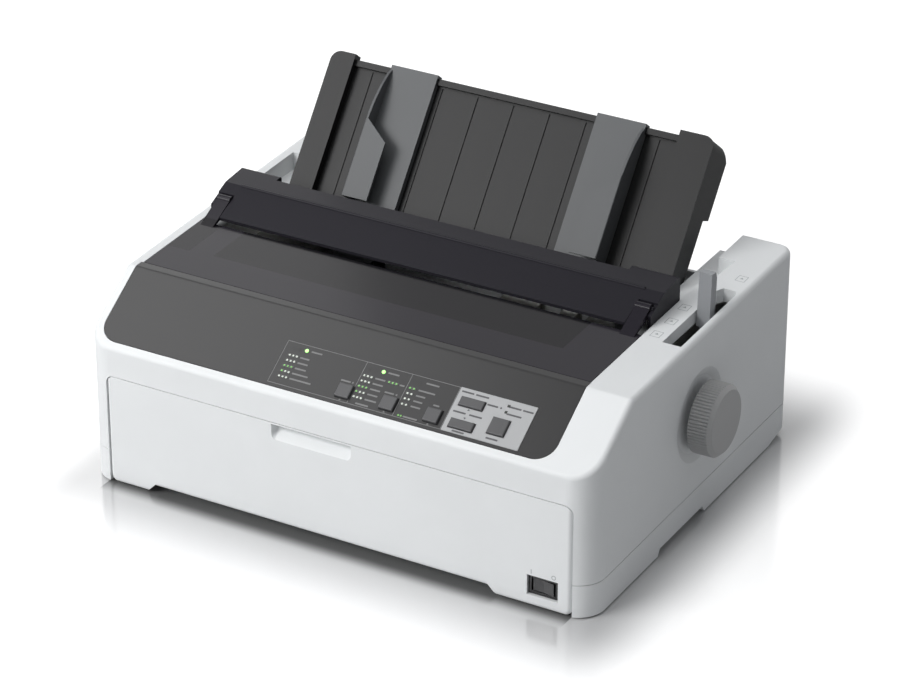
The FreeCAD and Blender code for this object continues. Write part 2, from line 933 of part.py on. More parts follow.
def guide_ears(shell):
    """Ears under the side decks that carry the pivot of the paper guide."""
    reach = S.guide_ear_radius
    top = deck_low + S.case_wall / 2
    hole = (guide_pivot_y, guide_pivot_z, S.guide_pin_radius + S.hinge_play)
    deck_right = rear_right - S.deck_width
    for low, high in ((block_right - S.guide_ear_thick, block_right), (deck_right, deck_right + S.guide_ear_thick)):
        shell.pad("YZ", low, high, [
            (guide_pivot_y - reach, top),
            (guide_pivot_y - reach, guide_pivot_z - reach / 2),
            (guide_pivot_y - reach / 2, guide_pivot_z - reach),
            (guide_pivot_y + reach / 2, guide_pivot_z - reach),
            (guide_pivot_y + reach, guide_pivot_z - reach / 2),
            (guide_pivot_y + reach, top),
        ])
        shell.cut("YZ", low, high, hole)


def upper_case():
    shell = Piece("upper_case")
    shell.pad("YZ", case_left, case_right, [
        (case_front, shell_low),
        (case_back, shell_low),
        (case_back, S.back_height),
        (break_y, S.break_height),
        (case_front, S.front_height),
    ])
    middle = S.front_height / 2
    shell.round(S.front_corner_radius, (case_left, case_front, middle), (case_right, case_front, middle))
    shell.round(S.back_corner_radius, (case_left, case_back, middle), (case_right, case_back, middle))
    slope_y = (case_front + break_y) / 2
    slope_z = (S.front_height + S.break_height) / 2
    shell.round(
        S.top_edge_radius,
        (ZERO, case_front, S.front_height),
        (ZERO, break_y, S.break_height),
        (ZERO, case_back, S.back_height),
        (case_left, slope_y, slope_z),
        (case_right, slope_y, slope_z),
        (case_left, ZERO, top_height(ZERO)),
        (case_right, ZERO, top_height(ZERO)),
    )
    shell.subtract(case_cavity())
    sink_well(shell)
    guide_ears(shell)
    # Front bay that the hinged cover closes
    cheek = S.cheek_wall
    shell.pad("XZ", case_front + S.case_wall, bay_rear + S.bay_wall, rectangle(
        bay_left - cheek, bay_right + cheek, shell_low, bay_top + cheek))
    shell.cut("XZ", case_front - S.overrun, bay_rear, rectangle(
        bay_left, bay_right, shell_low - S.overrun, bay_top))
    bay_middle = (case_front + bay_rear) / 2
    shell.round(S.cover_corner_radius + S.cover_gap, (bay_left, bay_middle, bay_top), (bay_right, bay_middle, bay_top))
    shell.cut("XZ", bay_rear - S.play, bay_rear + S.bay_wall + S.play, rectangle(
        -S.platen_left, S.platen_right, S.entry_low, S.entry_high))
    # Control panel seat and the window for its switches
    shell.subtract(panel_recess())
    shell.cut("XY", -S.slope_wall - S.overrun, S.overrun, rectangle(
        -S.panel_window_left, S.panel_window_right,
        S.panel_bottom + S.panel_ledge, S.panel_window_top), tilt=slope)
    # Slot of the release lever in a collar under the right shoulder
    shell.pad("YZ", S.lever_slot_left - S.case_wall, case_right - S.case_wall / 2, [
        (-S.lever_slot_front - S.case_wall, S.collar_low),
        (S.lever_slot_back + S.case_wall, S.collar_low),
        (S.lever_slot_back + S.case_wall, top_height(S.lever_slot_back) - S.case_wall / 2),
        (-S.lever_slot_front - S.case_wall, top_height(-S.lever_slot_front) - S.case_wall / 2),
    ])
    taper = S.lever_slot_taper
    shell.cut("XY", S.collar_low, S.back_height + S.overrun, [
        (S.lever_slot_left, -S.lever_slot_front),
        (S.lever_slot_right, -S.lever_slot_front),
        (S.lever_slot_right, S.lever_slot_back - taper),
        (S.lever_slot_right - taper / 2, S.lever_slot_back),
        (S.lever_slot_left + taper / 2, S.lever_slot_back),
        (S.lever_slot_left, S.lever_slot_back - taper),
    ])
    # Dish with a sloping wall and hole of the platen knob
    shell.pad("YZ", case_right - S.case_wall - S.dish_backing, case_right - S.case_wall / 2,
              regular(S.platen_y, S.platen_z, S.dish_radius, 16))
    dish_slope = arc_tangent(S.dish_radius - S.dish_floor_radius, S.dish_depth)
    shell.cut("YZ", case_right - S.dish_depth, case_right,
              (S.platen_y, S.platen_z, S.dish_radius), taper=-dish_slope)
    shell.cut("YZ", case_right - S.overrun, case_right + S.overrun,
              (S.platen_y, S.platen_z, S.knob_hole_radius))
    # Rear sockets, side vents and screw bosses
    shell.cut("XZ", case_back - S.case_wall - S.play, case_back + S.overrun, *socket_openings(S.play))
    vent = shell.cut("YZ", case_left - S.overrun, case_left + S.case_wall + S.play, rectangle(
        S.vent_start, S.vent_start + S.vent_wide, S.vent_low, S.vent_low + S.vent_long))
    shell.repeat([vent], "Y", S.vent_pitch * (S.vent_count - 1), S.vent_count)
    shell.pad("XY", shell_low, S.boss_high, *[regular(x, y, S.boss_radius, 8) for x, y in boss_places])
    shell.cut("XY", shell_low - S.overrun, shell_low + S.screw_long,
              *[regular(x, y, S.screw_shank_radius, 6) for x, y in boss_places])
    return shell


def socket_openings(margin):
    """Outlines of the rear sockets, (x, z), each grown by a margin."""
    rows = [
        (-S.inlet_x, S.inlet_wide, S.inlet_z, S.inlet_tall),
        (S.parallel_x, S.parallel_wide, S.socket_z, S.parallel_tall),
        (S.usb_x, S.usb_side, S.socket_z, S.usb_side),
        (-S.serial_x, S.serial_wide, S.socket_z, S.serial_tall),
    ]
    return [rectangle(x - wide / 2 - margin, x + wide / 2 + margin, z - tall / 2 - margin, z + tall / 2 + margin)
            for x, wide, z, tall in rows]


def lower_case():
    tub = Piece("lower_case")
    wall = S.case_wall
    top = S.split_height - S.split_gap / 2
    base = S.skirt_height
    tub.pad("XY", base, top, rectangle(case_left, case_right, case_front, case_back))
    middle = S.split_height / 2
    tub.round(S.front_corner_radius, (case_left, case_front, middle), (case_right, case_front, middle))
    tub.round(S.back_corner_radius, (case_left, case_back, middle), (case_right, case_back, middle))
    for name, low, high in (
            ("lower_case_underside", base - S.overrun, S.floor_height),
            ("lower_case_cavity", S.floor_height + S.floor_thick, top + S.overrun)):
        hollow = Piece(name, is_tool=True)
        hollow.pad("XY", low, high, rectangle(
            case_left + wall, case_right - wall, case_front + wall, case_back - wall))
        level = (low + high) / 2
        hollow.round(S.front_corner_radius - wall,
                     (case_left + wall, case_front + wall, level), (case_right - wall, case_front + wall, level))
        hollow.round(S.back_corner_radius - wall,
                     (case_left + wall, case_back - wall, level), (case_right - wall, case_back - wall, level))
        tub.subtract(hollow)
    # Front bay, its cheeks and its back wall
    cheek = S.cheek_wall
    tub.pad("XZ", case_front + wall, bay_rear + S.bay_wall, rectangle(
        bay_left - cheek, bay_right + cheek, base, top))
    tub.cut("XZ", case_front - S.overrun, bay_rear, rectangle(
        bay_left, bay_right, base - S.overrun, top + S.overrun))
    hole = (front_hinge_y, S.hinge_height, S.hinge_pin_radius + S.hinge_play)
    tub.cut("YZ", bay_left - S.hinge_pin_length, bay_left + S.overrun, hole)
    tub.cut("YZ", bay_right - S.overrun, bay_right + S.hinge_pin_length, hole)
    # Arches in the skirt between its runners
    tub.cut("YZ", case_left - S.overrun, case_right + S.overrun, [
        (-S.skirt_front_end, base - S.overrun),
        (S.skirt_rear_start, base - S.overrun),
        (S.skirt_rear_start - S.skirt_raise, S.skirt_raise),
        (-S.skirt_front_end + S.skirt_raise, S.skirt_raise),
    ])
    tub.cut("YZ", case_left - S.overrun, case_right + S.overrun, [
        (S.skirt_rear_end, base),
        (S.skirt_rear_end, base - S.overrun),
        (case_back + S.overrun, base - S.overrun),
        (case_back + S.overrun, S.floor_height + S.skirt_height),
    ])
    # Seats of the feet, screw bosses and their holes
    tub.pad("XY", S.foot_height - S.foot_recess, S.floor_height + S.floor_thick / 2,
            *[regular(x, y, S.foot_radius + wall, 12) for x, y in foot_places])
    tub.cut("XY", S.foot_height - S.foot_recess - S.overrun, S.foot_height,
            *[regular(x, y, S.foot_radius, 12) for x, y in foot_places])
    tub.pad("XY", S.floor_height, shell_low, *[regular(x, y, S.boss_radius, 8) for x, y in boss_places])
    tub.cut("XY", S.floor_height - S.overrun, shell_low + S.overrun,
            *[regular(x, y, S.screw_shank_radius + S.play, 6) for x, y in boss_places])
    vent = tub.cut("XY", S.floor_height - S.overrun, S.floor_height + S.floor_thick + S.overrun, rectangle(
        S.vent_start, S.vent_start + S.vent_long, S.vent_start, S.vent_start + S.vent_wide))
    tub.repeat([vent], "Y", S.vent_pitch * (S.vent_count - 1), S.vent_count)
    return tub


foot_places = [
    (case_left + S.foot_from_side, case_front + S.foot_from_front),
    (case_right - S.foot_from_side, case_front + S.foot_from_front),
    (case_left + S.foot_from_side, case_back - S.foot_from_back),
    (case_right - S.foot_from_side, case_back - S.foot_from_back),
]


def front_cover():
    door = Piece("front_cover")
    left = bay_left + S.cover_gap
    right = bay_right - S.cover_gap
    lean = S.cover_raise - S.cover_foot
    back = case_front + S.cover_flange
    door.pad("XZ", case_front, back, [
        (left, S.cover_foot),
        (-S.cover_raise_left - lean, S.cover_foot),
        (-S.cover_raise_left, S.cover_raise),
        (S.cover_raise_right, S.cover_raise),
        (S.cover_raise_right + lean, S.cover_foot),
        (right, S.cover_foot),
        (right, S.cover_top),
        (left, S.cover_top),
    ])
    deep = case_front + S.cover_flange / 2
    door.round(S.cover_low_corner_radius, (left, deep, S.cover_foot), (right, deep, S.cover_foot))
    door.round(
        S.cover_toe_radius,
        (left, case_front, S.cover_top / 2),
        (right, case_front, S.cover_top / 2),
        (ZERO, case_front, S.cover_raise),
        ((left - S.cover_raise_left) / 2, case_front, S.cover_foot),
        ((right + S.cover_raise_right) / 2, case_front, S.cover_foot),
    )
    for side, inward in ((left, 1), (right, -1)):
        door.cut("XZ", case_front - S.overrun, back + S.overrun, outside_corner(
            side, S.cover_top, S.cover_corner_radius, inward))
    rim = S.cover_rim
    door.cut("XZ", case_front + S.cover_wall, back + S.overrun, [
        (left + rim, S.cover_raise + rim),
        (right - rim, S.cover_raise + rim),
        (right - rim, S.cover_top - rim),
        (left + rim, S.cover_top - rim),
    ])
    rib = door.pad("XZ", case_front + S.cover_wall, case_front + S.cover_wall + S.cover_rib_height, rectangle(
        left + S.cover_rib_pitch / 2, left + S.cover_rib_pitch / 2 + S.cover_rib_thick,
        S.rocker_hole_high + S.cover_rim, S.cover_top - S.scoop_drop - rim))
    door.repeat([rib], "X", S.cover_rib_pitch * (S.cover_rib_count - 1), S.cover_rib_count)
    # Finger scoop, slanted inwards towards its top
    wall = S.scoop_wall
    low = S.cover_top - S.scoop_drop
    lip = S.cover_top - rim / 2
    door.pad("XZ", case_front + S.cover_wall / 2, case_front + S.scoop_depth + wall, rectangle(
        -S.scoop_left - wall, S.scoop_right + wall, low - wall, S.cover_top))
    door.cut("YZ", -S.scoop_left, S.scoop_right, [
        (case_front - S.overrun, low),
        (case_front, low),
        (case_front + S.scoop_depth, low + S.scoop_depth),
        (case_front + S.scoop_depth, lip),
        (case_front - S.overrun, lip),
    ])
    slanted = (case_front + S.scoop_depth / 2, low + S.scoop_depth / 2)
    door.round(S.scoop_round, (-S.scoop_left, *slanted), (S.scoop_right, *slanted))
    door.cut("XZ", case_front - S.overrun, back + S.overrun, rectangle(
        S.rocker_hole_left, S.rocker_hole_right, S.rocker_hole_low, S.rocker_hole_high))
    # Hinge pins at the lower corners
    pin = (front_hinge_y, S.hinge_height, S.hinge_pin_radius)
    door.pad("YZ", left - S.hinge_pin_length, left + S.cover_low_corner_radius, pin)
    door.pad("YZ", right - S.cover_low_corner_radius, right + S.hinge_pin_length, pin)
    return door


rocker_x = (S.rocker_hole_left + S.rocker_hole_right) / 2
rocker_y = case_front + S.bezel_inset + S.rocker_pivot_deep
bezel_low = S.rocker_hole_low + S.cover_gap
bezel_high = S.rocker_hole_high - S.cover_gap


def rocker_bezel():
    bezel = Piece("rocker_bezel")
    wall = S.bezel_wall
    left = S.rocker_hole_left + S.cover_gap
    right = S.rocker_hole_right - S.cover_gap
    bezel.pad("XZ", case_front + S.bezel_inset, bay_rear,
              rectangle(left, right, bezel_low, bezel_high),
              rectangle(left + wall, right - wall, bezel_low + wall, bezel_high - wall))
    bezel.cut("XY", bezel_low + wall - S.rocker_pin_long - S.play, bezel_high - wall + S.rocker_pin_long + S.play,
              (rocker_x, rocker_y, S.rocker_pin_radius + S.hinge_play))
    return bezel


def power_rocker():
    rocker = Piece("power_rocker", rocker_x, rocker_y)
    half = S.rocker_half
    face = -S.rocker_pivot_deep + S.play
    low = bezel_low + S.bezel_wall + S.rocker_play
    high = bezel_high - S.bezel_wall - S.rocker_play
    rocker.pad("XY", low, high, [
        (-half, face),
        (ZERO, face),
        (half, face - half * tangent(S.rocker_swing)),
        (half, S.rocker_body - half * tangent(S.rocker_swing)),
        (-half, S.rocker_body - half * tangent(S.rocker_swing)),
    ])
    rocker.pad("XY", low - S.rocker_pin_long - S.rocker_play, high + S.rocker_pin_long + S.rocker_play,
               (ZERO, ZERO, S.rocker_pin_radius))
    return rocker


BUTTONS = {
    "button_one": (S.button_one_x, S.button_row, S.button_side, S.button_tall),
    "button_two": (S.button_two_x, S.button_row, S.button_side, S.button_tall),
    "button_three": (S.button_three_x, S.button_row, S.button_side, S.button_tall),
    "wide_button_upper": (S.wide_column, S.wide_one_row, S.wide_button, S.wide_button_tall),
    "wide_button_lower": (S.wide_column, S.wide_two_row, S.wide_button, S.wide_button_tall),
    "large_button": (S.large_column, S.large_row, S.large_button, S.large_button_tall),
}


def light_bars():
    """Dark bars and single lights in the panel, (x, up the slope, length, height)."""
    long = S.light_bar_long
    tall = S.light_bar_tall
    rows = [S.light_block_up + S.light_pitch_up * row for row in range(5)]
    bars = [(-S.light_block_one_x, up, long, tall) for up in rows]
    bars += [(S.light_block_two_x, up, long, tall) for up in rows]
    bars += [(S.light_block_three_x, up, S.light_short_bar, tall) for up in rows[1:]]
    bars += [(S.light_single_x, rows[-1], long, tall)]
    bars += [(x, S.light_state_up, S.light_side, S.light_side) for x in (-S.light_state_one_x, S.light_state_two_x)]
    return bars


def plate_lights():
    """The two lights in the pale plate, written like the bars."""
    rows = (S.light_state_up, S.light_state_up - S.light_plate_pitch)
    return [(S.large_column, up, S.light_side, S.light_side) for up in rows]


def bar_outlines(bars, margin):
    return [rectangle(x - long / 2 - margin, x + long / 2 + margin, up - tall / 2 - margin, up + tall / 2 + margin)
            for x, up, long, tall in bars]


def control_panel():
    panel = Piece("control_panel")
    panel_band(panel, panel_left, panel_right, S.panel_bottom, S.panel_thick, ZERO)
    corner = on_slope(S.panel_bottom, -S.panel_thick / 2)
    panel.round(S.panel_corner_radius - S.panel_gap, (panel_left, *corner), (panel_right, *corner))
    panel.round(S.top_edge_radius, (ZERO, break_y, S.break_height))
    panel.pad("XY", -S.panel_thick / 2, S.plate_thick, rectangle(
        S.plate_left, S.plate_right, S.plate_bottom, S.plate_top), tilt=slope)
    line = S.engraved_line
    panel.cut("XY", -S.engraved_deep, S.overrun,
              rectangle(-S.engraved_left, S.plate_left - line, S.plate_bottom, S.plate_top),
              rectangle(-S.engraved_left + line, S.divider_one_x, S.plate_bottom + line, S.plate_top - line),
              rectangle(S.divider_one_x + line, S.divider_two_x, S.plate_bottom + line, S.plate_top - line),
              rectangle(S.divider_two_x + line, S.plate_left - line * 2, S.plate_bottom + line, S.plate_top - line),
              tilt=slope)
    gap = S.button_gap
    panel.cut("XY", -S.panel_thick - S.overrun, S.overrun, *[
        rectangle(x - wide / 2 - gap, x + wide / 2 + gap, up - tall / 2 - gap, up + tall / 2 + gap)
        for x, up, wide, tall in BUTTONS.values()], tilt=slope)
    panel.cut("XY", -S.light_deep, S.overrun,
              *bar_outlines(light_bars() + plate_lights(), S.light_play), tilt=slope)
    return panel


def panel_lights():
    lights = Piece("panel_lights")
    lights.pad("XY", -S.light_deep, S.light_proud, *bar_outlines(light_bars(), ZERO), tilt=slope)
    lights.pad("XY", -S.light_deep, S.plate_thick + S.light_proud,
               *bar_outlines(plate_lights(), ZERO), tilt=slope)
    return lights


def button(label, x, up, wide, tall):
    y, z = on_slope(up)
    key = Piece(label, x, y, z, tilt=slope_angle)
    top = S.plate_thick + S.button_stand
    flange_top = -S.panel_thick - S.button_gap
    flange_low = flange_top - S.button_flange_thick
    reach = S.button_flange
    key.pad("XY", flange_low, top, rectangle(-wide / 2, wide / 2, -tall / 2, tall / 2))
    key.round(
        S.button_round,
        (ZERO, -tall / 2, top), (ZERO, tall / 2, top), (-wide / 2, ZERO, top), (wide / 2, ZERO, top))
    key.pad("XY", flange_low, flange_top, rectangle(
        -wide / 2 - reach, wide / 2 + reach, -tall / 2 - reach / 2, tall / 2 + reach / 2))
    stem_low = -S.switch_board_depth + S.tact_high + S.button_travel + S.button_gap
    key.pad("XY", stem_low, flange_low + S.button_flange_thick / 2, regular(ZERO, ZERO, S.button_stem_radius, 6))
    return key


def switch_board():
    board = Piece("switch_board")
    top = -S.switch_board_depth
    edge = S.play
    board.pad("XY", top - S.switch_board_thick, top, rectangle(
        -S.panel_window_left + edge, S.panel_window_right - edge,
        S.panel_bottom + S.panel_ledge + edge, S.panel_window_top - edge), tilt=slope)
    half = S.tact_side / 2
    board.pad("XY", top - S.switch_board_thick / 2, top + S.tact_high, *[
        rectangle(x - half, x + half, up - half, up + half)
        for x, up, wide, tall in BUTTONS.values()], tilt=slope)
    post = S.button_stem_radius
    board.pad("XY", top - S.switch_board_thick / 2, -S.panel_thick, *[
        regular(x, S.panel_window_top - post * 2, post, 6)
        for x in (-S.panel_window_left + post * 2, S.divider_two_x, S.panel_window_right - post * 2)], tilt=slope)
    return board


cover_left = well_left + S.cover_gap_side
cover_right = well_right - S.cover_gap_side
strip_rise = (S.ridge_z - S.lip_z) / (S.hump_front_y + S.lip_y)


def strip_height(y):
    """Height of the sloping front of the printer cover at a depth."""
    return S.lip_z + strip_rise * (y + S.lip_y)


def printer_cover():
    cover = Piece("printer_cover")
    wall = S.hump_wall
    low = S.well_height + S.hump_seat
    under = wall * (strip_rise + 1)
    # Strip and hump in section, then the cut that leaves their thin wall
    cover.pad("YZ", cover_left, cover_right, [
        (-S.lip_y, S.lip_z - wall),
        (-S.lip_y, S.lip_z),
        (S.hump_front_y, S.ridge_z),
        (S.hump_back_y, S.hump_back_z),
        (S.hump_back_y, S.back_height),
        (S.hump_back_y - wall, S.back_height),
        (S.hump_back_y - wall, S.hump_back_z - under),
        (S.ridge_y, S.ridge_z - under),
    ])
    cover.round(S.hump_edge_radius, (ZERO, S.hump_back_y, S.hump_back_z))
    # The middle of the back stands forward, so the paper passes behind it
    step_left = -S.hump_step_left
    cover.cut("XY", low, S.hump_back_z + S.overrun, rectangle(
        step_left, S.hump_step_right, S.hump_mid_back_y, S.hump_back_y + S.overrun))
    cover.pad("XZ", S.hump_mid_back_y - wall, S.hump_mid_back_y, rectangle(
        step_left - wall, S.hump_step_right + wall, S.back_height, S.hump_back_z - wall))
    for side, low_x, high_x in ((-1, step_left - wall, step_left), (1, S.hump_step_right, S.hump_step_right + wall)):
        cover.pad("YZ", low_x, high_x, rectangle(
            S.hump_mid_back_y - wall, S.hump_back_y - wall / 2, S.back_height, S.hump_back_z - wall))
    # Room for the knuckles of the exit window
    above = S.hump_back_z + S.overrun
    behind = S.knuckle_y + S.knuckle_radius + S.knuckle_gap
    cover.cut("XY", low, above, rectangle(
        cover_left - S.overrun, -S.strip_left, -S.lip_y - S.overrun, behind))
    cover.cut("XY", low, above, rectangle(
        S.strip_right, cover_right + S.overrun, -S.lip_y - S.overrun, behind))
    # End walls that carry the cover's own hinge
    corner = S.cover_hinge_radius + S.hinge_wall
    for low_x, high_x in ((cover_left, cover_left + S.end_wall), (cover_right - S.end_wall, cover_right)):
        cover.pad("YZ", low_x, high_x, [
            (S.end_wall_low, low),
            (S.cover_hinge_y, low),
            (S.cover_hinge_y + corner * S.corner_share, cover_hinge_z - corner * S.corner_share),
            (S.hump_back_y, cover_hinge_z),
            (S.hump_back_y, S.hump_back_z - S.hump_edge_radius),
            (S.hump_front_y, S.ridge_z - wall / 2),
            (S.end_wall_low, strip_height(S.end_wall_low) - wall / 2),
        ])
    # Gussets under the ends of the strip
    for low_x, high_x in ((-S.strip_left, -S.strip_left + wall), (S.strip_right - wall, S.strip_right)):
        cover.pad("YZ", low_x, high_x, [
            (-S.lip_y + wall, S.lip_z - wall / 2),
            (S.knuckle_y - S.knuckle_radius, S.knuckle_z - S.knuckle_radius),
            (S.hump_front_y, S.knuckle_z - S.knuckle_radius),
            (S.hump_front_y, S.ridge_z - wall / 2),
        ])
    pin = (S.knuckle_y, S.knuckle_z, S.knuckle_pin_radius)
    cover.pad("YZ", cover_left + S.end_wall / 2, -S.strip_left + wall / 2, pin)
    cover.pad("YZ", S.strip_right - wall / 2, cover_right - S.end_wall / 2, pin)
    hinge = (S.cover_hinge_y, cover_hinge_z, S.cover_hinge_radius)
    cover.pad("YZ", cover_left - S.cover_hinge_long, cover_left + S.end_wall / 2, hinge)
    cover.pad("YZ", cover_right - S.end_wall / 2, cover_right + S.cover_hinge_long, hinge)
    # Bright bead along the ridge
    bead = S.ridge_bead_radius
    cover.pad("YZ", -S.strip_left, S.strip_right, regular(S.hump_front_y, S.ridge_z - bead / 2, bead, 12))
    return cover


def exit_window():
    window = Piece("exit_window")
    low = S.well_height + S.hump_seat
    front = well_front + S.panel_gap
    back = -S.window_back_y
    rim = S.window_rim
    thick = S.window_thick
    bevel = S.window_bevel
    window.pad("YZ", cover_left, cover_right, [
        (front + bevel, low),
        (back, low),
        (back, top_height(back)),
        (front, top_height(front)),
        (front, low + bevel),
    ])
    window.cut("YZ", cover_left + rim, cover_right - rim, [
        (front + rim, low - S.overrun),
        (back - rim, low - S.overrun),
        (back - rim, top_height(back) - thick),
        (front + rim, top_height(front) - thick),
    ])
    # Arms up the slope to the knuckles
    arm = S.arm_thick
    clear = S.knuckle_gap
    hub = (S.knuckle_y, S.knuckle_z, S.knuckle_radius)
    hole = (S.knuckle_y, S.knuckle_z, S.knuckle_pin_radius + S.knuckle_play)
    start = -S.arm_reach
    for low_x, high_x in ((cover_left + S.end_wall + clear, -S.strip_left - clear),
                          (S.strip_right + clear, cover_right - S.end_wall - clear)):
        window.pad("YZ", low_x, high_x, [
            (start - arm, top_height(start) - thick),
            (back, top_height(back) - thick),
            (back, strip_height(back) - arm - strip_rise),
            (S.knuckle_y, S.knuckle_z - S.knuckle_radius),
            (S.knuckle_y - S.knuckle_radius / 2, S.knuckle_z + S.knuckle_radius / 2),
            (start - arm, top_height(start)),
        ])
        window.pad("YZ", low_x, high_x, hub)
        window.cut("YZ", low_x - S.overrun, high_x + S.overrun, hole)
    return window


def paper_guide():
    """Drawn upright with its rail's face at local Y = 0 and leant back by the body's placement."""
    guide = Piece("paper_guide", ZERO, S.guide_low_y, S.guide_low_z, tilt=-S.guide_lean)
    left = -S.guide_left
    right = S.guide_right
    band_left = left + S.guide_band_left
    band_right = right - S.guide_band_right
    stand = S.guide_band_stand
    thick = S.guide_thick
    deep = S.guide_field_back
    low = -S.guide_drop
    guide.pad("XZ", deep, deep + thick, rectangle(left, right, ZERO, S.guide_field_long))
    guide.pad("XZ", ZERO, deep + thick, rectangle(
        left, right, S.guide_field_long - S.guide_rail_tall, S.guide_field_long))
    for low_x, high_x, step_x in ((left, band_left, band_left - thick), (band_right, right, band_right)):
        guide.pad("XZ", -stand, thick - stand, rectangle(low_x, high_x, low, S.guide_long))
        guide.pad("XZ", -stand, deep + thick, rectangle(step_x, step_x + thick, low, S.guide_long))
    groove = guide.cut("XZ", -S.overrun, deep + S.guide_groove_depth, rectangle(
        -S.guide_groove_first, -S.guide_groove_first + S.guide_groove, S.guide_groove_low, S.guide_groove_high))
    guide.repeat([groove], "X", S.guide_groove_pitch * (S.guide_groove_count - 1), S.guide_groove_count)
    flange = S.guide_flange
    for low_x, high_x in ((left, left + flange), (right - flange, right)):
        guide.pad("YZ", low_x, high_x, [
            (-stand, low),
            (S.guide_deep_low, low),
            (S.guide_deep_low, S.guide_step_up),
            (S.guide_deep_high, S.guide_step_up + flange),
            (S.guide_deep_high, S.guide_shoulder_up),
            (S.guide_top_deep, S.guide_long),
            (-stand, S.guide_long),
        ])
    guide.pad("XZ", ZERO, S.guide_top_deep, rectangle(
        left + flange, right - flange, S.guide_field_long - S.guide_thick, S.guide_field_long))
    guide.round(
        S.guide_corner_radius,
        (left, (S.guide_top_deep - stand) / 2, S.guide_long),
        (right, (S.guide_top_deep - stand) / 2, S.guide_long),
    )
    pin = (S.guide_pivot_back, -S.guide_pivot_drop, S.guide_pin_radius)
    guide.pad("YZ", left - S.guide_pin_left, left + flange / 2, pin)
    guide.pad("YZ", right - flange / 2, right + S.guide_pin_right, pin)
    return guide


def edge_guide(label, low, wide, fence_on_left):
    """Sliding guide for one edge of the paper; it hooks over the top of the paper guide."""
    guide = Piece(label, ZERO, S.guide_low_y, S.guide_low_z, tilt=-S.guide_lean)
    stand = -S.edge_guide_stand
    face = stand - S.edge_guide_thick
    high = low + wide
    top = S.guide_field_long + S.play
    thick = S.edge_fence_thick
    guide.pad("XZ", face, stand, rectangle(low, high, S.edge_low, top + S.edge_hook_thick))
    guide.pad("XZ", face, S.edge_hook, rectangle(low, high, top, top + S.edge_hook_thick))
    runner = top - S.guide_rail_tall - S.play * 2
    for low_x in (low, high - thick):
        guide.pad("XZ", face, S.guide_field_back + stand, rectangle(low_x, low_x + thick, S.edge_low, runner))
    fence_x = (low, low + thick) if fence_on_left else (high - thick, high)
    lip_x = (low, low + S.edge_lip) if fence_on_left else (high - S.edge_lip, high)
    rise = top - S.edge_fence_up
    shares = ((0, 1), (0.3, 0.88), (0.62, 0.64), (0.86, 0.34), (1, 0))
    guide.pad("YZ", *fence_x, [(stand, S.edge_low), (-S.edge_fence, S.edge_low)] + [
        (stand - (S.edge_fence + stand) * deep_share, S.edge_fence_up + rise * up_share)
        for up_share, deep_share in shares])
    inner = lip_x[1] if fence_on_left else lip_x[0]
    outer = lip_x[0] if fence_on_left else lip_x[1]
    guide.pad("XZ", -S.edge_fence, thick - S.edge_fence, [
        (outer, S.edge_low),
        (inner, S.edge_low),
        (inner, S.edge_lip_up),
        (outer, S.edge_fence_up),
    ])
    guide.round(
        S.button_round,
        (fence_x[0], -S.edge_fence, S.edge_lip_up / 2),
        (fence_x[1], -S.edge_fence, S.edge_lip_up / 2),
    )
    return guide


def release_lever():
    lever = Piece("release_lever", ZERO, S.lever_pivot_y, S.lever_pivot_z, tilt=-S.lever_lean)
    left = S.lever_left
    right = left + S.lever_wide
    top = (S.lever_top - S.lever_pivot_z) / cosine(S.lever_lean)
    half = S.lever_deep / 2
    shank = (S.lever_wide - S.lever_shank) / 2
    lever.pad("YZ", left + shank, right - shank, rectangle(-half, half, ZERO, S.lever_shank_high + half))
    lever.pad("YZ", left, right, [
        (-half, S.lever_shank_high),
        (half, S.lever_shank_high),
        (half, top - S.lever_back_cut),
        (half / 2, top),
        (-half, top),
    ])
    lever.pad("YZ", left, right, (ZERO, ZERO, S.lever_hub_radius))
    lever.cut("YZ", left - S.overrun, right + S.overrun, (ZERO, ZERO, S.lever_pin_radius + S.shaft_play))
    return lever


def platen_shaft():
    shaft = Piece("platen_shaft", ZERO, S.platen_y, S.platen_z)
    end = case_right + S.knob_long / 2
    start = -S.frame_left_x - S.gear_clear - S.gear_thick - S.frame_thick
    shaft.turned([
        (start, ZERO),
        (end, ZERO),
        (end, S.shaft_radius),
        (start, S.shaft_radius),
    ])
    shaft.bevel(S.frame_thick / 2, (start, ZERO, S.shaft_radius))
    return shaft


def platen_roller():
    roller = Piece("platen_roller", ZERO, S.platen_y, S.platen_z)
    roller.turned([
        (-S.platen_left, S.shaft_radius),
        (S.platen_right, S.shaft_radius),
        (S.platen_right, S.platen_radius),
        (-S.platen_left, S.platen_radius),
    ])
    return roller


def platen_knob():
    """Fluted hand wheel with a flat, chamfered face."""
    knob = Piece("platen_knob", ZERO, S.platen_y, S.platen_z)
    face = case_right + S.knob_stand
    back = face - S.knob_long
    end = case_right + S.knob_long / 2
    inner = S.frame_right_x + S.bush_flange_thick + S.frame_thick + S.play
    knob.turned([
        (inner, S.shaft_radius),
        (end, S.shaft_radius),
        (end, ZERO),
        (face, ZERO),
        (face, S.knob_radius - S.knob_chamfer),
        (face - S.knob_chamfer, S.knob_radius),
        (back, S.knob_radius),
        (back, S.knob_radius - S.knob_wall),
        (back + S.knob_chamfer, S.knob_radius - S.knob_wall),
        (back + S.knob_chamfer, S.knob_boss_radius),
        (inner, S.knob_boss_radius),
    ])
    flute = knob.cut("YZ", back - S.overrun, face + S.overrun, [
        (-S.knob_flute_half, S.knob_radius + S.knob_flute_above),
        (ZERO, S.knob_radius - S.knob_flute_deep),
        (S.knob_flute_half, S.knob_radius + S.knob_flute_above),
    ])
    knob.repeat_round([flute], S.knob_flute_count)
    return knob


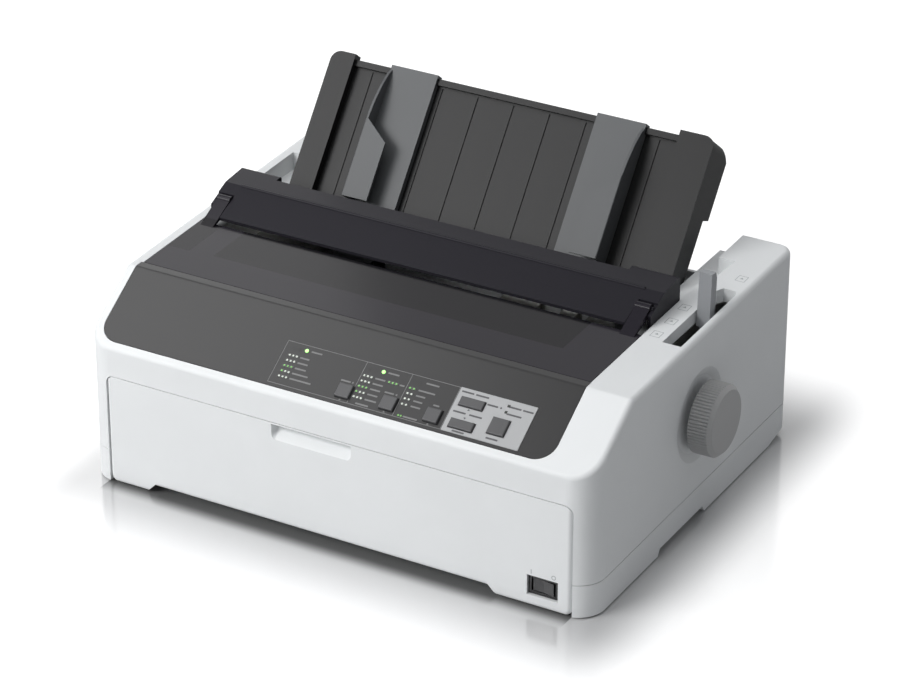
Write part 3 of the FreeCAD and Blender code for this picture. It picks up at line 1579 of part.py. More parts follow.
left_inner = -S.frame_left_x
left_outer = left_inner - S.frame_thick
right_inner = S.frame_right_x
right_outer = right_inner + S.frame_thick
layer_one_high = left_inner - S.gear_clear
layer_one_low = layer_one_high - S.gear_thick
layer_two_high = layer_one_low - S.gear_layer_gap
layer_two_low = layer_two_high - S.gear_thick
compound_reach = (S.platen_teeth + S.small_teeth) * S.gear_module / 2
compound_y = S.platen_y + compound_reach * cosine(S.train_angle)
compound_z = S.platen_z - compound_reach * sine(S.train_angle)
pinion_reach = (S.large_teeth + S.pinion_teeth) * S.gear_module / 2
pinion_y = compound_y + pinion_reach * cosine(S.pinion_angle)
pinion_z = compound_z - pinion_reach * sine(S.pinion_angle)
idler_reach = (S.platen_teeth + S.idler_teeth) * S.gear_module / 2
idler_y = S.platen_y + idler_reach * cosine(S.tractor_angle)
idler_z = S.platen_z + idler_reach * sine(S.tractor_angle)
tractor_reach = idler_reach + (S.idler_teeth + S.tractor_teeth) * S.gear_module / 2
tractor_y = S.platen_y + tractor_reach * cosine(S.tractor_angle)
tractor_z = S.platen_z + tractor_reach * sine(S.tractor_angle)
support_y = tractor_y + S.support_back
support_z = tractor_z - S.support_drop
tab_y = -S.belt_y - S.belt_wide


def toothed_rim(teeth, low, high, tooth_at):
    """A spur rim about the X axis with a tooth centred on the given angle, in degrees."""
    module = S.gear_module.value
    pitch = teeth.value * module / 2
    tip = pitch + module * S.gear_addendum.value
    root = pitch - module * S.gear_dedendum.value
    step = 360 / teeth.value
    sides = (
        (root, -S.tooth_root_share.value), (tip, -S.tooth_tip_share.value),
        (tip, S.tooth_tip_share.value), (root, S.tooth_root_share.value))
    corners = []
    for tooth in range(int(teeth.value)):
        for radius, share in sides:
            angle = math.radians(tooth_at + step * (tooth + share))
            corners.append(FreeCAD.Vector(low.value, radius * math.cos(angle), radius * math.sin(angle)))
    face = Part.Face(Part.makePolygon(corners + corners[:1]))
    return face.extrude(FreeCAD.Vector((high - low).value, 0, 0))


def barrel(radius, low, high):
    return Part.makeCylinder(
        radius.value, (high - low).value, FreeCAD.Vector(low.value, 0, 0), FreeCAD.Vector(1, 0, 0))


def meshed(driver_teeth, driver_tooth_at, towards, teeth):
    """The angle of a tooth of the second gear that leaves it in mesh with the first."""
    step = 360 / driver_teeth.value
    shift = (driver_tooth_at - towards + step / 2) % step - step / 2
    return towards + 180 - shift * driver_teeth.value / teeth.value + 180 / teeth.value


def gear(label, y, z, rims, bore, shafts=()):
    """Gears are shapes of their own: the sheet gives module, tooth counts, widths and centres."""
    made = doc.addObject("Part::Feature", label)
    made.Label = label
    shape = toothed_rim(*rims[0])
    for rim in rims[1:]:
        shape = shape.fuse(toothed_rim(*rim))
    for shaft in shafts:
        shape = shape.fuse(barrel(*shaft))
    if bore is not None:
        shape = shape.cut(barrel(bore, layer_two_low - S.overrun, left_inner))
    made.Shape = shape
    made.setExpression("Placement.Base.x", frame_shift.text)
    made.setExpression("Placement.Base.y", (frame_back + y).text)
    made.setExpression("Placement.Base.z", z.text)
    pieces.append(made)
    return made


def feed_gears():
    """The train from the feed motor to the platen, and on from the platen to the tractors."""
    to_compound = -S.train_angle.value
    to_tractor = S.tractor_angle.value
    to_pinion = -S.pinion_angle.value
    one = (layer_one_low, layer_one_high)
    two = (layer_two_low, layer_two_high)
    turning = S.stud_radius + S.journal_play
    gear("platen_gear", S.platen_y, S.platen_z, [(S.platen_teeth, *one, to_compound)], S.shaft_radius)
    small_at = meshed(S.platen_teeth, to_compound, to_compound, S.small_teeth)
    gear("compound_gear", compound_y, compound_z,
         [(S.small_teeth, *one, small_at), (S.large_teeth, *two, to_pinion)], turning,
         [(S.gear_hub_radius, layer_two_high - S.play, layer_one_low + S.play)])
    pinion_at = meshed(S.large_teeth, to_pinion, to_pinion, S.pinion_teeth)
    gear("motor_pinion", pinion_y, pinion_z, [(S.pinion_teeth, *two, pinion_at)], None,
         [(S.motor_shaft_radius, layer_two_low, left_inner + S.gear_thick)])
    idler_at = meshed(S.platen_teeth, to_compound, to_tractor, S.idler_teeth)
    gear("tractor_idler_gear", idler_y, idler_z, [(S.idler_teeth, *one, idler_at)], turning)
    tractor_at = meshed(S.idler_teeth, idler_at, to_tractor, S.tractor_teeth)
    gear("tractor_gear", tractor_y, tractor_z, [(S.tractor_teeth, *one, tractor_at)], S.journal_radius)


def side_frame(label, low, high):
    frame = Piece(label)
    frame.pad("YZ", low, high, [
        (-S.frame_front, S.frame_low),
        (S.frame_back, S.frame_low),
        (S.frame_back, S.frame_back_high),
        (S.frame_shoulder_y, S.frame_high),
        (-S.frame_brow_y, S.frame_high),
        (-S.frame_nose_y, S.frame_front_high),
        (-S.frame_front, S.frame_front_high),
    ])
    frame.cut("YZ", low, high, (S.platen_y, S.platen_z, S.bush_outer))
    frame.cut("YZ", low, high, (tractor_y, tractor_z, S.journal_radius + S.journal_play))
    frame.cut("YZ", low, high, (support_y, support_z, S.support_radius))
    frame.cut("YZ", low, high, (-S.rod_y, S.rod_z, S.rod_radius))
    return frame


def frames():
    left = side_frame("left_frame", left_outer, left_inner)
    left.cut("YZ", left_outer, left_inner, (pinion_y, pinion_z, S.motor_shaft_radius + S.overrun / 2))
    left.pad("YZ", layer_two_low - S.frame_thick, left_outer, (compound_y, compound_z, S.stud_radius))
    left.pad("YZ", layer_one_low - S.frame_thick, left_outer, (idler_y, idler_z, S.stud_radius))
    left.pad("XZ", tab_y - S.frame_thick, tab_y, rectangle(
        left_outer, left_inner + S.tab_wide, S.tab_low, S.tab_high))
    left.cut("XZ", tab_y - S.frame_thick, tab_y, (-S.pulley_left_x, S.pulley_z, S.motor_shaft_radius + S.play))
    right = side_frame("right_frame", right_inner, right_outer)
    right.pad("YZ", right_outer, S.lever_left + S.lever_wide + S.play,
              (S.lever_pivot_y, S.lever_pivot_z, S.lever_pin_radius))
    right.pad("XZ", tab_y - S.frame_thick, tab_y, rectangle(
        right_inner - S.tab_wide, right_outer, S.tab_low, S.tab_high))
    right.pad("XZ", tab_y, -S.belt_y + S.belt_wide, (S.pulley_right_x, S.pulley_z, S.hub_radius))


def base_plate():
    plate = Piece("base_plate")
    low = S.frame_low - S.base_thick
    plate.pad("XY", low, S.frame_low, rectangle(-S.base_left, S.base_right, -S.base_front, S.base_back))
    plate.pad("XZ", -S.base_front, -S.base_front + S.base_thick, rectangle(
        -S.base_left, S.base_right, low, S.frame_low + S.base_flange))
    return plate


def platen_bushes():
    bushes = Piece("platen_bushes", ZERO, S.platen_y, S.platen_z)
    bore = S.shaft_radius + S.shaft_play
    thick = S.bush_flange_thick
    bushes.pad("YZ", left_outer, left_inner, (ZERO, ZERO, S.bush_outer), (ZERO, ZERO, bore))
    bushes.pad("YZ", left_inner, left_inner + thick, (ZERO, ZERO, S.bush_flange), (ZERO, ZERO, bore))
    bushes.pad("YZ", right_inner, right_outer, (ZERO, ZERO, S.bush_outer), (ZERO, ZERO, bore))
    bushes.pad("YZ", right_outer, right_outer + thick, (ZERO, ZERO, S.bush_flange), (ZERO, ZERO, bore))
    return bushes


def paper_chute():
    """Sheet that wraps under the platen and rises to the paper guide."""
    chute = Piece("paper_chute", ZERO, S.platen_y, S.platen_z)
    inner = S.chute_radius
    outer = inner + S.chute_thick
    lean = S.guide_lean
    wrap = S.chute_wrap
    reach = S.chute_reach
    chute.pad("YZ", left_inner, right_inner, (ZERO, ZERO, outer), (ZERO, ZERO, inner))
    chute.cut("YZ", left_inner - S.play, right_inner + S.play, [
        (ZERO, ZERO),
        (reach * cosine(lean), -reach * sine(lean)),
        (reach, reach),
        (-reach, reach),
        (-reach, -reach),
        (reach * cosine(wrap), -reach * sine(wrap)),
    ])
    rise = S.chute_top - S.platen_z + inner * sine(lean)
    run = rise * tangent(lean)
    chute.pad("YZ", left_inner, right_inner, [
        (inner * cosine(lean), -inner * sine(lean)),
        (outer * cosine(lean), -outer * sine(lean)),
        (outer * cosine(lean) + run, rise - outer * sine(lean)),
        (inner * cosine(lean) + run, rise - inner * sine(lean)),
    ])
    return chute


def carriage_parts():
    rod = Piece("carriage_rod", ZERO, -S.rod_y, S.rod_z)
    rod.turned([
        (left_outer - S.frame_thick, ZERO),
        (right_outer + S.frame_thick, ZERO),
        (right_outer + S.frame_thick, S.rod_radius),
        (left_outer - S.frame_thick, S.rod_radius),
    ])
    rail = Piece("carriage_rail")
    rail.pad("YZ", left_inner, right_inner, [
        (-S.rail_front, S.frame_low),
        (-S.rail_front + S.base_thick, S.frame_low),
        (-S.rail_front + S.base_thick, S.rail_top - S.base_thick),
        (-S.rail_back, S.rail_top - S.base_thick),
        (-S.rail_back, S.rail_top),
        (-S.rail_front, S.rail_top),
    ])
    carriage = Piece("carriage", -S.carriage_x)
    half = S.carriage_wide / 2
    carriage.pad("YZ", -half, half, [
        (-S.carriage_front, S.carriage_low),
        (-S.carriage_back, S.carriage_low),
        (-S.carriage_back, S.carriage_high),
        (-S.carriage_front, S.carriage_high),
    ])
    carriage.cut("YZ", -half, half, (-S.rod_y, S.rod_z, S.rod_radius + S.shaft_play))
    carriage.round(S.nose_round, (-half, -S.carriage_front, (S.carriage_low + S.carriage_high) / 2),
                   (half, -S.carriage_front, (S.carriage_low + S.carriage_high) / 2))
    head = Piece("print_head", -S.carriage_x)
    wide = S.head_wide / 2
    nose = S.nose_wide / 2
    front = S.platen_y - S.platen_radius - S.head_nose_gap
    head.pad("XY", S.carriage_high, S.head_high, rectangle(-wide, wide, -S.head_front, -S.head_back))
    head.pad("XZ", -S.head_back, front, rectangle(-nose, nose, S.nose_low, S.nose_high))
    nose_middle = (S.nose_low + S.nose_high) / 2
    head.bevel(S.nose_round, (-nose, front, nose_middle), (nose, front, nose_middle))
    pitch = S.head_fin_pitch
    fin = head.pad("XY", S.carriage_high + pitch / 2, S.carriage_high + pitch, rectangle(
        -wide - pitch, wide + pitch, -S.head_front - pitch, -S.head_back - pitch))
    head.repeat([fin], "Z", S.head_fin_pitch * (S.head_fin_count - 1), S.head_fin_count)


def belt_parts():
    belt = Piece("drive_belt", ZERO, -S.belt_y, S.pulley_z)
    half = S.belt_wide / 2
    left = -S.pulley_left_x
    right = S.pulley_right_x
    outer = S.pulley_radius + S.belt_thick
    belt.pad("XZ", -half, half, (left, ZERO, outer))
    belt.pad("XZ", -half, half, (right, ZERO, outer))
    belt.pad("XZ", -half, half, rectangle(left, right, -outer, outer))
    inner = S.pulley_radius
    belt.cut("XZ", -half, half, (left, ZERO, inner))
    belt.cut("XZ", -half, half, (right, ZERO, inner))
    belt.cut("XZ", -half, half, rectangle(left, right, -inner, inner))
    for label, x in (("belt_drive_pulley", left), ("belt_idler_pulley", right)):
        pulley = Piece(label, x, -S.belt_y, S.pulley_z)
        edge = half + S.play
        pulley.pad("XZ", -edge, edge, regular(ZERO, ZERO, inner - S.belt_slack, 16))
        rim = regular(ZERO, ZERO, outer + S.pulley_flange, 16)
        pulley.pad("XZ", edge, edge + S.pulley_flange_thick, rim)
        pulley.pad("XZ", -edge - S.pulley_flange_thick, -edge, rim)
        if x is left:
            pulley.pad("XZ", -S.belt_wide * 2, -edge, regular(ZERO, ZERO, S.motor_shaft_radius, 12))
        else:
            pulley.cut("XZ", -S.belt_wide, S.belt_wide, (ZERO, ZERO, S.hub_radius + S.shaft_play))


def motors():
    motor = Piece("carriage_motor", -S.pulley_left_x, tab_y - S.frame_thick, S.pulley_z)
    motor.pad("XZ", -S.carriage_motor_deep, ZERO, (ZERO, ZERO, S.carriage_motor_radius))
    motor.cut("XZ", -S.belt_wide * 2, ZERO, (ZERO, ZERO, S.motor_shaft_radius + S.shaft_play))
    feed = Piece("feed_motor", left_inner, pinion_y, pinion_z)
    feed.pad("YZ", ZERO, S.feed_motor_deep, (ZERO, ZERO, S.feed_motor_radius))
    feed.cut("YZ", ZERO, S.gear_thick + S.play, (ZERO, ZERO, S.motor_shaft_radius + S.shaft_play))


def tractor_shafts():
    shaft = Piece("tractor_shaft", ZERO, tractor_y, tractor_z)
    half = S.square_shaft / 2
    shaft.pad("YZ", left_inner + S.play * 2, right_inner - S.play * 2, rectangle(-half, half, -half, half))
    shaft.pad("YZ", layer_one_low - S.frame_thick, left_inner + S.play * 2, (ZERO, ZERO, S.journal_radius))
    shaft.pad("YZ", right_inner - S.play * 2, right_outer + S.frame_thick, (ZERO, ZERO, S.journal_radius))
    rod = Piece("support_rod", ZERO, support_y, support_z)
    rod.turned([
        (left_outer, ZERO),
        (right_outer, ZERO),
        (right_outer, S.support_radius),
        (left_outer, S.support_radius),
    ])


def tractor(name, x, side):
    """A tractor unit, its pin wheel and its flap, hinged on the given side (-1 left, 1 right)."""
    half = S.tractor_wide / 2
    hinge_x = (half + S.door_hinge_out) * side
    hinge_z = S.tractor_high + S.door_gap + S.tractor_door_thick / 2
    unit = Piece(f"{name}_tractor", x, tractor_y, tractor_z)
    unit.pad("YZ", -half, half, rectangle(-S.tractor_front, S.tractor_back, -S.tractor_low, S.tractor_high))
    slot = S.sprocket_radius + S.sprocket_pin_stand + S.door_gap
    unit.cut("YZ", -S.tractor_slot, S.tractor_slot, rectangle(
        -slot, slot, -S.tractor_low - S.overrun, S.tractor_high + S.overrun))
    unit.cut("YZ", -half, half, (ZERO, ZERO, S.sprocket_hub_radius + S.journal_play))
    unit.cut("YZ", -half, half, (S.support_back, -S.support_drop, S.support_radius + S.journal_play))
    edge = S.sprocket_hub_radius + S.door_slot
    ear = S.tractor_wall
    ear_x = sorted((half * side, hinge_x + S.door_hinge_radius * side), key=lambda place: place.value)
    for low, high in ((-edge - S.play - ear, -edge - S.play), (edge + S.play, edge + S.play + ear)):
        unit.pad("XZ", low, high, rectangle(*ear_x, ZERO, hinge_z + S.door_hinge_radius))
        unit.cut("XZ", low, high, (hinge_x, hinge_z, S.door_pin_radius + S.knuckle_play))
    flap = Piece(f"{name}_tractor_door", x, tractor_y, tractor_z)
    low = S.tractor_high + S.door_gap
    high = low + S.tractor_door_thick
    inner = sorted(((half - S.door_gap) * side, -half * side), key=lambda place: place.value)
    neck = sorted((hinge_x, (half - S.door_gap * 2) * side), key=lambda place: place.value)
    flap.pad("XY", low, high, rectangle(*inner, -S.tractor_front + S.play, S.tractor_back - S.play))
    flap.pad("XY", low, high, rectangle(*neck, -edge, edge))
    flap.pad("XZ", -edge, edge, (hinge_x, hinge_z, S.door_hinge_radius))
    flap.pad("XZ", -edge - S.play - ear, edge + S.play + ear, (hinge_x, hinge_z, S.door_pin_radius))
    flap.cut("XY", low - S.play, high + S.play, rectangle(
        -S.door_slot, S.door_slot, -S.sprocket_radius, S.sprocket_radius))
    wheel = Piece(f"{name}_sprocket", x, tractor_y, tractor_z)
    rim = S.sprocket_wide / 2
    wheel.turned([
        (-half, ZERO),
        (half, ZERO),
        (half, S.sprocket_hub_radius),
        (rim, S.sprocket_hub_radius),
        (rim, S.sprocket_radius),
        (-rim, S.sprocket_radius),
        (-rim, S.sprocket_hub_radius),
        (-half, S.sprocket_hub_radius),
    ])
    pin = wheel.pad("XY", S.sprocket_radius - S.tractor_wall, S.sprocket_radius + S.sprocket_pin_stand,
                    regular(ZERO, ZERO, S.sprocket_pin_radius, 6))
    wheel.repeat_round([pin], S.sprocket_pins)
    square = S.square_shaft / 2 + S.square_play
    wheel.cut("YZ", -half, half, rectangle(-square, square, -square, square))


def ribbon_parts():
    body = Piece("ribbon_cartridge")
    left = -S.cartridge_left
    right = S.cartridge_right
    low = S.cartridge_low
    back = -S.cartridge_back
    tip = S.platen_y - S.platen_radius - S.ribbon_gap - S.ribbon_thick
    body.pad("XY", low, S.cartridge_high, rectangle(left, right, -S.cartridge_front, back))
    middle = (low + S.cartridge_high) / 2
    body.round(S.cartridge_round, (left, -S.cartridge_front, middle), (right, -S.cartridge_front, middle))
    arm = S.arm_wide
    for low_x, high_x in ((left, left + arm), (right - arm, right)):
        body.pad("XY", low, S.cartridge_high - S.cartridge_lug, rectangle(
            low_x, high_x, back, tip - S.cartridge_lug))
        body.pad("XY", S.ribbon_low - S.ribbon_gap, low + S.cartridge_lug, rectangle(
            low_x, high_x, tip - arm, tip))
    for low_x, high_x in ((left_outer, left + arm), (right - arm, right_outer)):
        body.pad("XY", S.frame_front_high, S.frame_front_high + S.cartridge_lug, rectangle(
            low_x, high_x, back - S.cartridge_lug_long, back))
    body.cut("XY", low + S.cartridge_lug, S.cartridge_high + S.overrun, (
        -S.ribbon_knob_x, back - S.cartridge_lug_long, S.hub_radius + S.hinge_play))
    tape = Piece("ribbon")
    tape.pad("XZ", tip, tip + S.ribbon_thick, rectangle(left, right, S.ribbon_low, S.ribbon_high))
    knob = Piece("ribbon_knob", -S.ribbon_knob_x, back - S.cartridge_lug_long, S.cartridge_high)
    knob.pad("XY", S.play, S.ribbon_knob_high / 2, (ZERO, ZERO, S.ribbon_knob_radius))
    grip = S.ribbon_knob_radius
    knob.pad("XY", S.play, S.ribbon_knob_high, rectangle(
        -grip * S.grip_share, grip * S.grip_share, -grip * S.end_share, grip * S.end_share))
    knob.pad("XY", -S.ribbon_knob_high, S.play, (ZERO, ZERO, S.hub_radius))


def electrics():
    board = Piece("main_board")
    low = S.frame_low + S.board_stand
    top = low + S.board_thick
    left = -S.board_left
    right = S.board_right
    front = -S.board_front
    back = S.board_back
    board.pad("XY", low, top, rectangle(left, right, front, back))
    edge = S.board_stand
    board.pad("XY", S.frame_low, low, *[
        regular(x, y, S.hub_radius, 6) for x in (left + edge, right - edge) for y in (front + edge, back - edge)])
    side = S.chip_side
    board.pad("XY", top, top + S.chip_high,
              rectangle(S.chip_x, S.chip_x + side, ZERO, side),
              rectangle(S.chip_x + side * 2, S.chip_x + side * 3, -side / 2, side),
              rectangle(left + side, left + side * 2, ZERO, side * 2 / 3))
    board.pad("XY", top, top + S.capacitor_high,
              regular(left + S.chip_x, front + S.chip_x, S.capacitor_radius, 12),
              regular(left + S.chip_x * 2, front + S.chip_x, S.capacitor_radius, 12))
    supply = Piece("power_supply")
    start = S.supply_front
    x = -S.supply_left
    roof = S.frame_low + S.supply_high
    supply.pad("XY", S.frame_low, roof, rectangle(x, x + S.supply_wide, start, start + S.supply_deep))
    slot = supply.cut("XY", roof - S.overrun, roof + S.overrun, rectangle(
        x + S.vent_pitch, x + S.vent_pitch + S.vent_wide,
        start + S.vent_pitch, start + S.supply_deep - S.vent_pitch))
    supply.repeat([slot], "X", S.vent_pitch * (S.vent_count - 1), S.vent_count)
    wall = case_back - S.case_wall
    deep = wall - S.socket_wall
    openings = socket_openings(ZERO)
    inlet = Piece("mains_inlet")
    inlet.pad("XZ", case_back - S.inlet_deep, case_back - S.play, openings[0])
    inlet.pad("XZ", deep, wall, socket_openings(S.overrun / 2)[0])
    inlet.cut("XZ", case_back - S.inlet_deep + S.socket_wall, case_back + S.play, socket_openings(-S.bezel_wall)[0])
    blade = S.socket_wall
    inlet.pad("XZ", case_back - S.inlet_deep, case_back - S.bezel_wall * 2, *[
        rectangle(x - blade, x + blade, S.inlet_z - blade * 3, S.inlet_z + blade * 2)
        for x in (-S.inlet_x - S.inlet_wide / 4, -S.inlet_x, -S.inlet_x + S.inlet_wide / 4)])
    sockets = Piece("interface_sockets")
    sockets.pad("XZ", case_back - S.socket_deep, case_back - S.play, *openings[1:])
    sockets.pad("XZ", deep, wall, *socket_openings(S.overrun / 2)[1:])
    sockets.cut("XZ", case_back - S.socket_deep + S.bezel_wall, case_back + S.play,
                *socket_openings(-S.bezel_wall)[1:])
    sockets.pad("XZ", case_back - S.socket_deep, case_back - S.bezel_wall * 2, rectangle(
        S.parallel_x - S.parallel_wide / 3, S.parallel_x + S.parallel_wide / 3,
        S.socket_z - S.socket_wall, S.socket_z + S.socket_wall))


def feet_and_screws():
    feet = Piece("rubber_feet")
    feet.pad("XY", ZERO, S.foot_height, *[regular(x, y, S.foot_radius, 12) for x, y in foot_places])
    screws = Piece("case_screws")
    screws.pad("XY", S.floor_height - S.screw_head_high, S.floor_height,
               *[regular(x, y, S.screw_head_radius, 12) for x, y in boss_places])
    screws.pad("XY", S.floor_height, shell_low + S.screw_long,
               *[regular(x, y, S.screw_shank_radius, 6) for x, y in boss_places])


def check_and_write():
    doc.recompute()
    for item in doc.Objects:
        if "Invalid" in item.State or "Error" in item.State:
            raise ValueError(f"{item.Name} ({item.Label}) failed: {item.State}")
    os.makedirs("parts", exist_ok=True)
    for item in pieces:
        if item.Shape.isNull() or not item.Shape.isValid():
            raise ValueError(f"{item.Label} has no valid shape")
        item.Shape.exportStep(f"parts/{item.Label}.step")


upper_case()
lower_case()
front_cover()
rocker_bezel()
power_rocker()
control_panel()
panel_lights()
for name, (x, up, wide, tall) in BUTTONS.items():
    button(name, x, up, wide, tall)
switch_board()
printer_cover()
exit_window()
paper_guide()
edge_guide("left_edge_guide", -S.edge_left_x, S.left_edge_wide, True)
edge_guide("right_edge_guide", S.edge_right_x, S.right_edge_wide, False)
release_lever()
platen_shaft()
platen_roller()
platen_knob()
feed_gears()
frames()
base_plate()
platen_bushes()
paper_chute()
carriage_parts()
belt_parts()
motors()
tractor_shafts()
tractor("left", -S.tractor_left_x, -1)
tractor("right", S.tractor_right_x, 1)
ribbon_parts()
electrics()
feet_and_screws()
check_and_write()
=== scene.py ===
import math

import bmesh
import bpy
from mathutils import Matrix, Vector


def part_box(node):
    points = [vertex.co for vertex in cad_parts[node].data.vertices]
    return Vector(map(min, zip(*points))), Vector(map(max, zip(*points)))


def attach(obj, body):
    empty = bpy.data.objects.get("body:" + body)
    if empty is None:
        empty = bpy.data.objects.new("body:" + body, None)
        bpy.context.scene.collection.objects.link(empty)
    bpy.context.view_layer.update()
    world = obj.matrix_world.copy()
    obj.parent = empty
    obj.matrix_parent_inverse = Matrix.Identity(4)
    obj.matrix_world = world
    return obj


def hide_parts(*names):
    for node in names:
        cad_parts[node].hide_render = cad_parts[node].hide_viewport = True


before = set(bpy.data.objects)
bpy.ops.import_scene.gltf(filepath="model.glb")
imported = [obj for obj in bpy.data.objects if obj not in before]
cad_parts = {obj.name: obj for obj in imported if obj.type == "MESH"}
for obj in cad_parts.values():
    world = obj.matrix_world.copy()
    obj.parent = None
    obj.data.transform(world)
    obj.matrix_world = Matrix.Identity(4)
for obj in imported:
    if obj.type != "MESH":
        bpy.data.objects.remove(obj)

bl_info = {
    "name": "Dot matrix printer looks",
    "version": (1, 0, 0),
    "blender": (4, 5, 0),
    "location": "3D View > Sidebar > Printer",
    "description": "Finishes and fine pieces of a desk dot matrix printer, and its studio stage",
    "category": "Object",
}

# Camera in the photograph's frame: degrees, metres, and pixels of a 900 by 700 picture
PHOTO_WIDE = 900
CAMERA_AZIMUTH = 29.658
CAMERA_ELEVATION = 28.176
CAMERA_DISTANCE = 2.6288
CAMERA_TARGET = (-0.002417, -0.004065, 0.085242)
FOCAL_PIXELS = 3773.5
SENSOR_WIDE = 36.0
CLIP_NEAR, CLIP_FAR = 0.1, 50.0

# The slope that the control panel lies on, in the frame's metres
SLOPE_FOOT = (-0.0101, -0.152265, 0.1064)
SLOPE_ANGLE = math.atan2(0.0358, 0.0555)

# Centre of the case, which the printed marks are measured from
CASE_MIDDLE = (-0.0101, -0.004065)

# How far above the floor, or before the frame's middle, a line starts that looks for the case, in metres
RAY_START = 0.3

# Rows of the panel's lights up the slope, and the columns of lenses in each block, in millimetres
LIGHT_ROWS = (14.8, 19.02, 23.24, 27.46, 31.68)
BLOCK_ONE = (-47.1, -44.35, -41.6)
BLOCK_TWO = (11.3, 14.1, 16.9)
BLOCK_THREE = (46.6, 49.6)
SINGLE_ROW = (30.5, 33.25, 36.0)

# Plain bars beside the panel's lights and buttons, (left, right, up the slope), in millimetres
PANEL_LEGENDS = (
    (-33.2, -24.8, 38.1), (26.7, 35.2, 38.1), (56.0, 65.8, 38.1),
    (-39.0, -31.8, 31.7), (-39.0, -31.0, 27.5), (-39.0, -30.3, 23.2), (-39.0, -26.8, 19.0),
    (-39.0, -22.4, 14.8),
    (19.7, 27.5, 31.7), (19.7, 27.5, 27.5), (19.7, 27.5, 23.2), (19.7, 27.5, 19.0), (19.7, 28.5, 14.8),
    (53.0, 65.6, 31.7), (53.0, 60.1, 27.5), (53.0, 59.9, 23.2), (53.0, 60.3, 19.0),
    (38.6, 42.2, 31.7), (-3.1, 4.4, 24.1), (30.7, 37.8, 24.0), (67.8, 72.4, 24.2),
    (14.6, 24.5, 10.4), (51.2, 61.9, 10.4),
)
PANEL_DOTS = ((6.1, 24.1), (39.8, 24.0))
BAR_TALL = 1.15
DOT_RADIUS, DOT_TOP = 0.75, 0.08

# The same on the pale button plate, which stands a little above the panel
PLATE_RISE = 0.5
PLATE_LEGENDS = (
    (82.6, 91.8, 39.4), (93.2, 103.0, 39.4), (103.9, 111.8, 34.8), (119.4, 128.2, 37.3),
    (129.4, 137.2, 37.3), (119.4, 130.6, 31.9), (83.1, 92.6, 24.0), (95.2, 104.8, 24.0),
    (88.7, 97.8, 9.9), (113.4, 122.3, 11.5),
)
PLATE_DOT = (114.1, 34.8)
PLATE_DOT_RADIUS, PLATE_DOT_TOP = 0.7, 0.06
PLATE_BAR_TALL = 1.25

# Small arrows, (across, up the slope, which way they point), half their width, and their foot and tip
PLATE_ARROWS = ((93.3, 27.3, 1), (93.3, 20.7, -1))
PANEL_ARROWS = ((2.8, 9.9, 1), (36.8, 9.9, 1), (70.2, 9.9, 1))
ARROW_HALF, ARROW_FOOT, ARROW_TIP = 1.0, 0.6, 0.8

# Fine lines round the panel's blocks: their middle, length each way, width, foot and places, and two
# heights of their tops, so that lines which cross share no face
LINES_MIDDLE = (13.5, 25.35)
LINES_LONG = (134.0, 32.8)
LINE_WIDE = 0.42
LINE_FOOT = -0.24
LINE_TOPS = (-0.03, -0.04)
LINES_ALONG = (8.75, 41.95)
LINES_UP = (-53.25, 8.75, 43.75, 80.25)

# Printed rings, lit lenses, and the small lenses on the dark bars and at the panel's foot, in millimetres
RING_SIDES = 14
RING_RADIUS, RING_WIDE = 1.15, 0.3
RINGS_UP = 37.3
RINGS = (-46.5, -41.5, 13.0, 17.7, 47.2, 52.0)
LIT_UP = 37.7
LIT = (-36.6, 23.4)
LIT_RADIUS, LIT_FOOT, LIT_TOP = 1.35, 0.08, 0.6
LIT_SIDES = 16
LENS_RADIUS, LENS_FOOT, LENS_TOP = 0.72, 0.1, 0.34
LENS_SIDES = 10
FOOT_ROW = 10.4
FOOT_LENSES = (47.7, 49.7)

# How deep a mark goes into what carries it, and how far rings and lever marks stand out, in millimetres
MARK_SUNK = -0.02
MARK_PROUD = 0.05

# Marks of the power switch: places, (across, up), the stroke's sides, the ring's radius and width
SWITCH_ON = (153.4, 27.8)
SWITCH_OFF = (170.2, 27.8)
SWITCH_STROKE = (0.6, 3.4)
SWITCH_RING = (1.7, 0.5)
SWITCH_PROUD = 0.06

# Outlined sheets at the release lever: places, (across, back), how far the edges lie from the middle,
# the edges' lengths and width, and the arrow's half width, foot and tip
LEVER_PLACES = ((170.6, 35.4), (171.4, 13.6), (170.8, -7.0), (186.4, 91.2))
LEVER_SHEET = (3.4, 3.9)
LEVER_EDGES = (8.0, 6.8)
LEVER_STROKE = 0.45
LEVER_ARROW = (1.4, 0.6, 1.8)

# Rounding of a small block's corners: share of its shorter side, and the turns of its points in degrees
CORNER_SHARE = 0.28
CORNER_TURNS = (0, 30, 60, 90)

# Edges of the pale button plate, across the frame and up the slope, in metres
PLATE_ACROSS = (0.0708, 0.1284)
PLATE_UP = (0.0084, 0.0423)

# The window's darker panes, painted shade of the dark hollow seen through the smoked window: left, right,
# front and back in metres from the case's middle, and their share of the window's colour; and how soft the
# panes' edges are
PANE_SOFT = 0.0006
WINDOW_SHADE_PANES = (
    (-0.151, 0.125, -0.0545, -0.012, 0.35),
    (-0.1965, -0.170, -0.056, -0.012, 0.45),
)

# The ribbon's band: steps along it, rows up it, waves along it, and how far they sway it, in metres
RIBBON_STEPS = 90
RIBBON_ROWS = 4
RIBBON_WAVES = 5
RIBBON_SWAY = 0.00006

# Floor: how far its painted glow and the painted shade before the case reach, in metres, how much nearer each
# comes on the axes across, deep and up, the case's rounded corner, the glow's strength, and the gloss
FLOOR_TONES = ((0.57, 0.57, 0.573), (0.59, 0.59, 0.593))
GLOW_REACH, GLOW_STRETCH = 0.1, (1.7, 1.0, 1.0)
PAINTED_SHADE_REACH, PAINTED_SHADE_STRETCH = 0.014, (12.0, 1.0, 1.0)
# Colour of the painted contact shadow that darkens the floor next to the case
PAINTED_SHADE_TONE = (0.15, 0.15, 0.15)
CORNER_ROUND = 0.016
GLOW_MOST = 0.8
GLOSS_SHARE, GLOSS_ROUGHNESS = 0.20, 0.13
GLOSS_COLOUR = (0.97, 0.97, 0.97, 1.0)

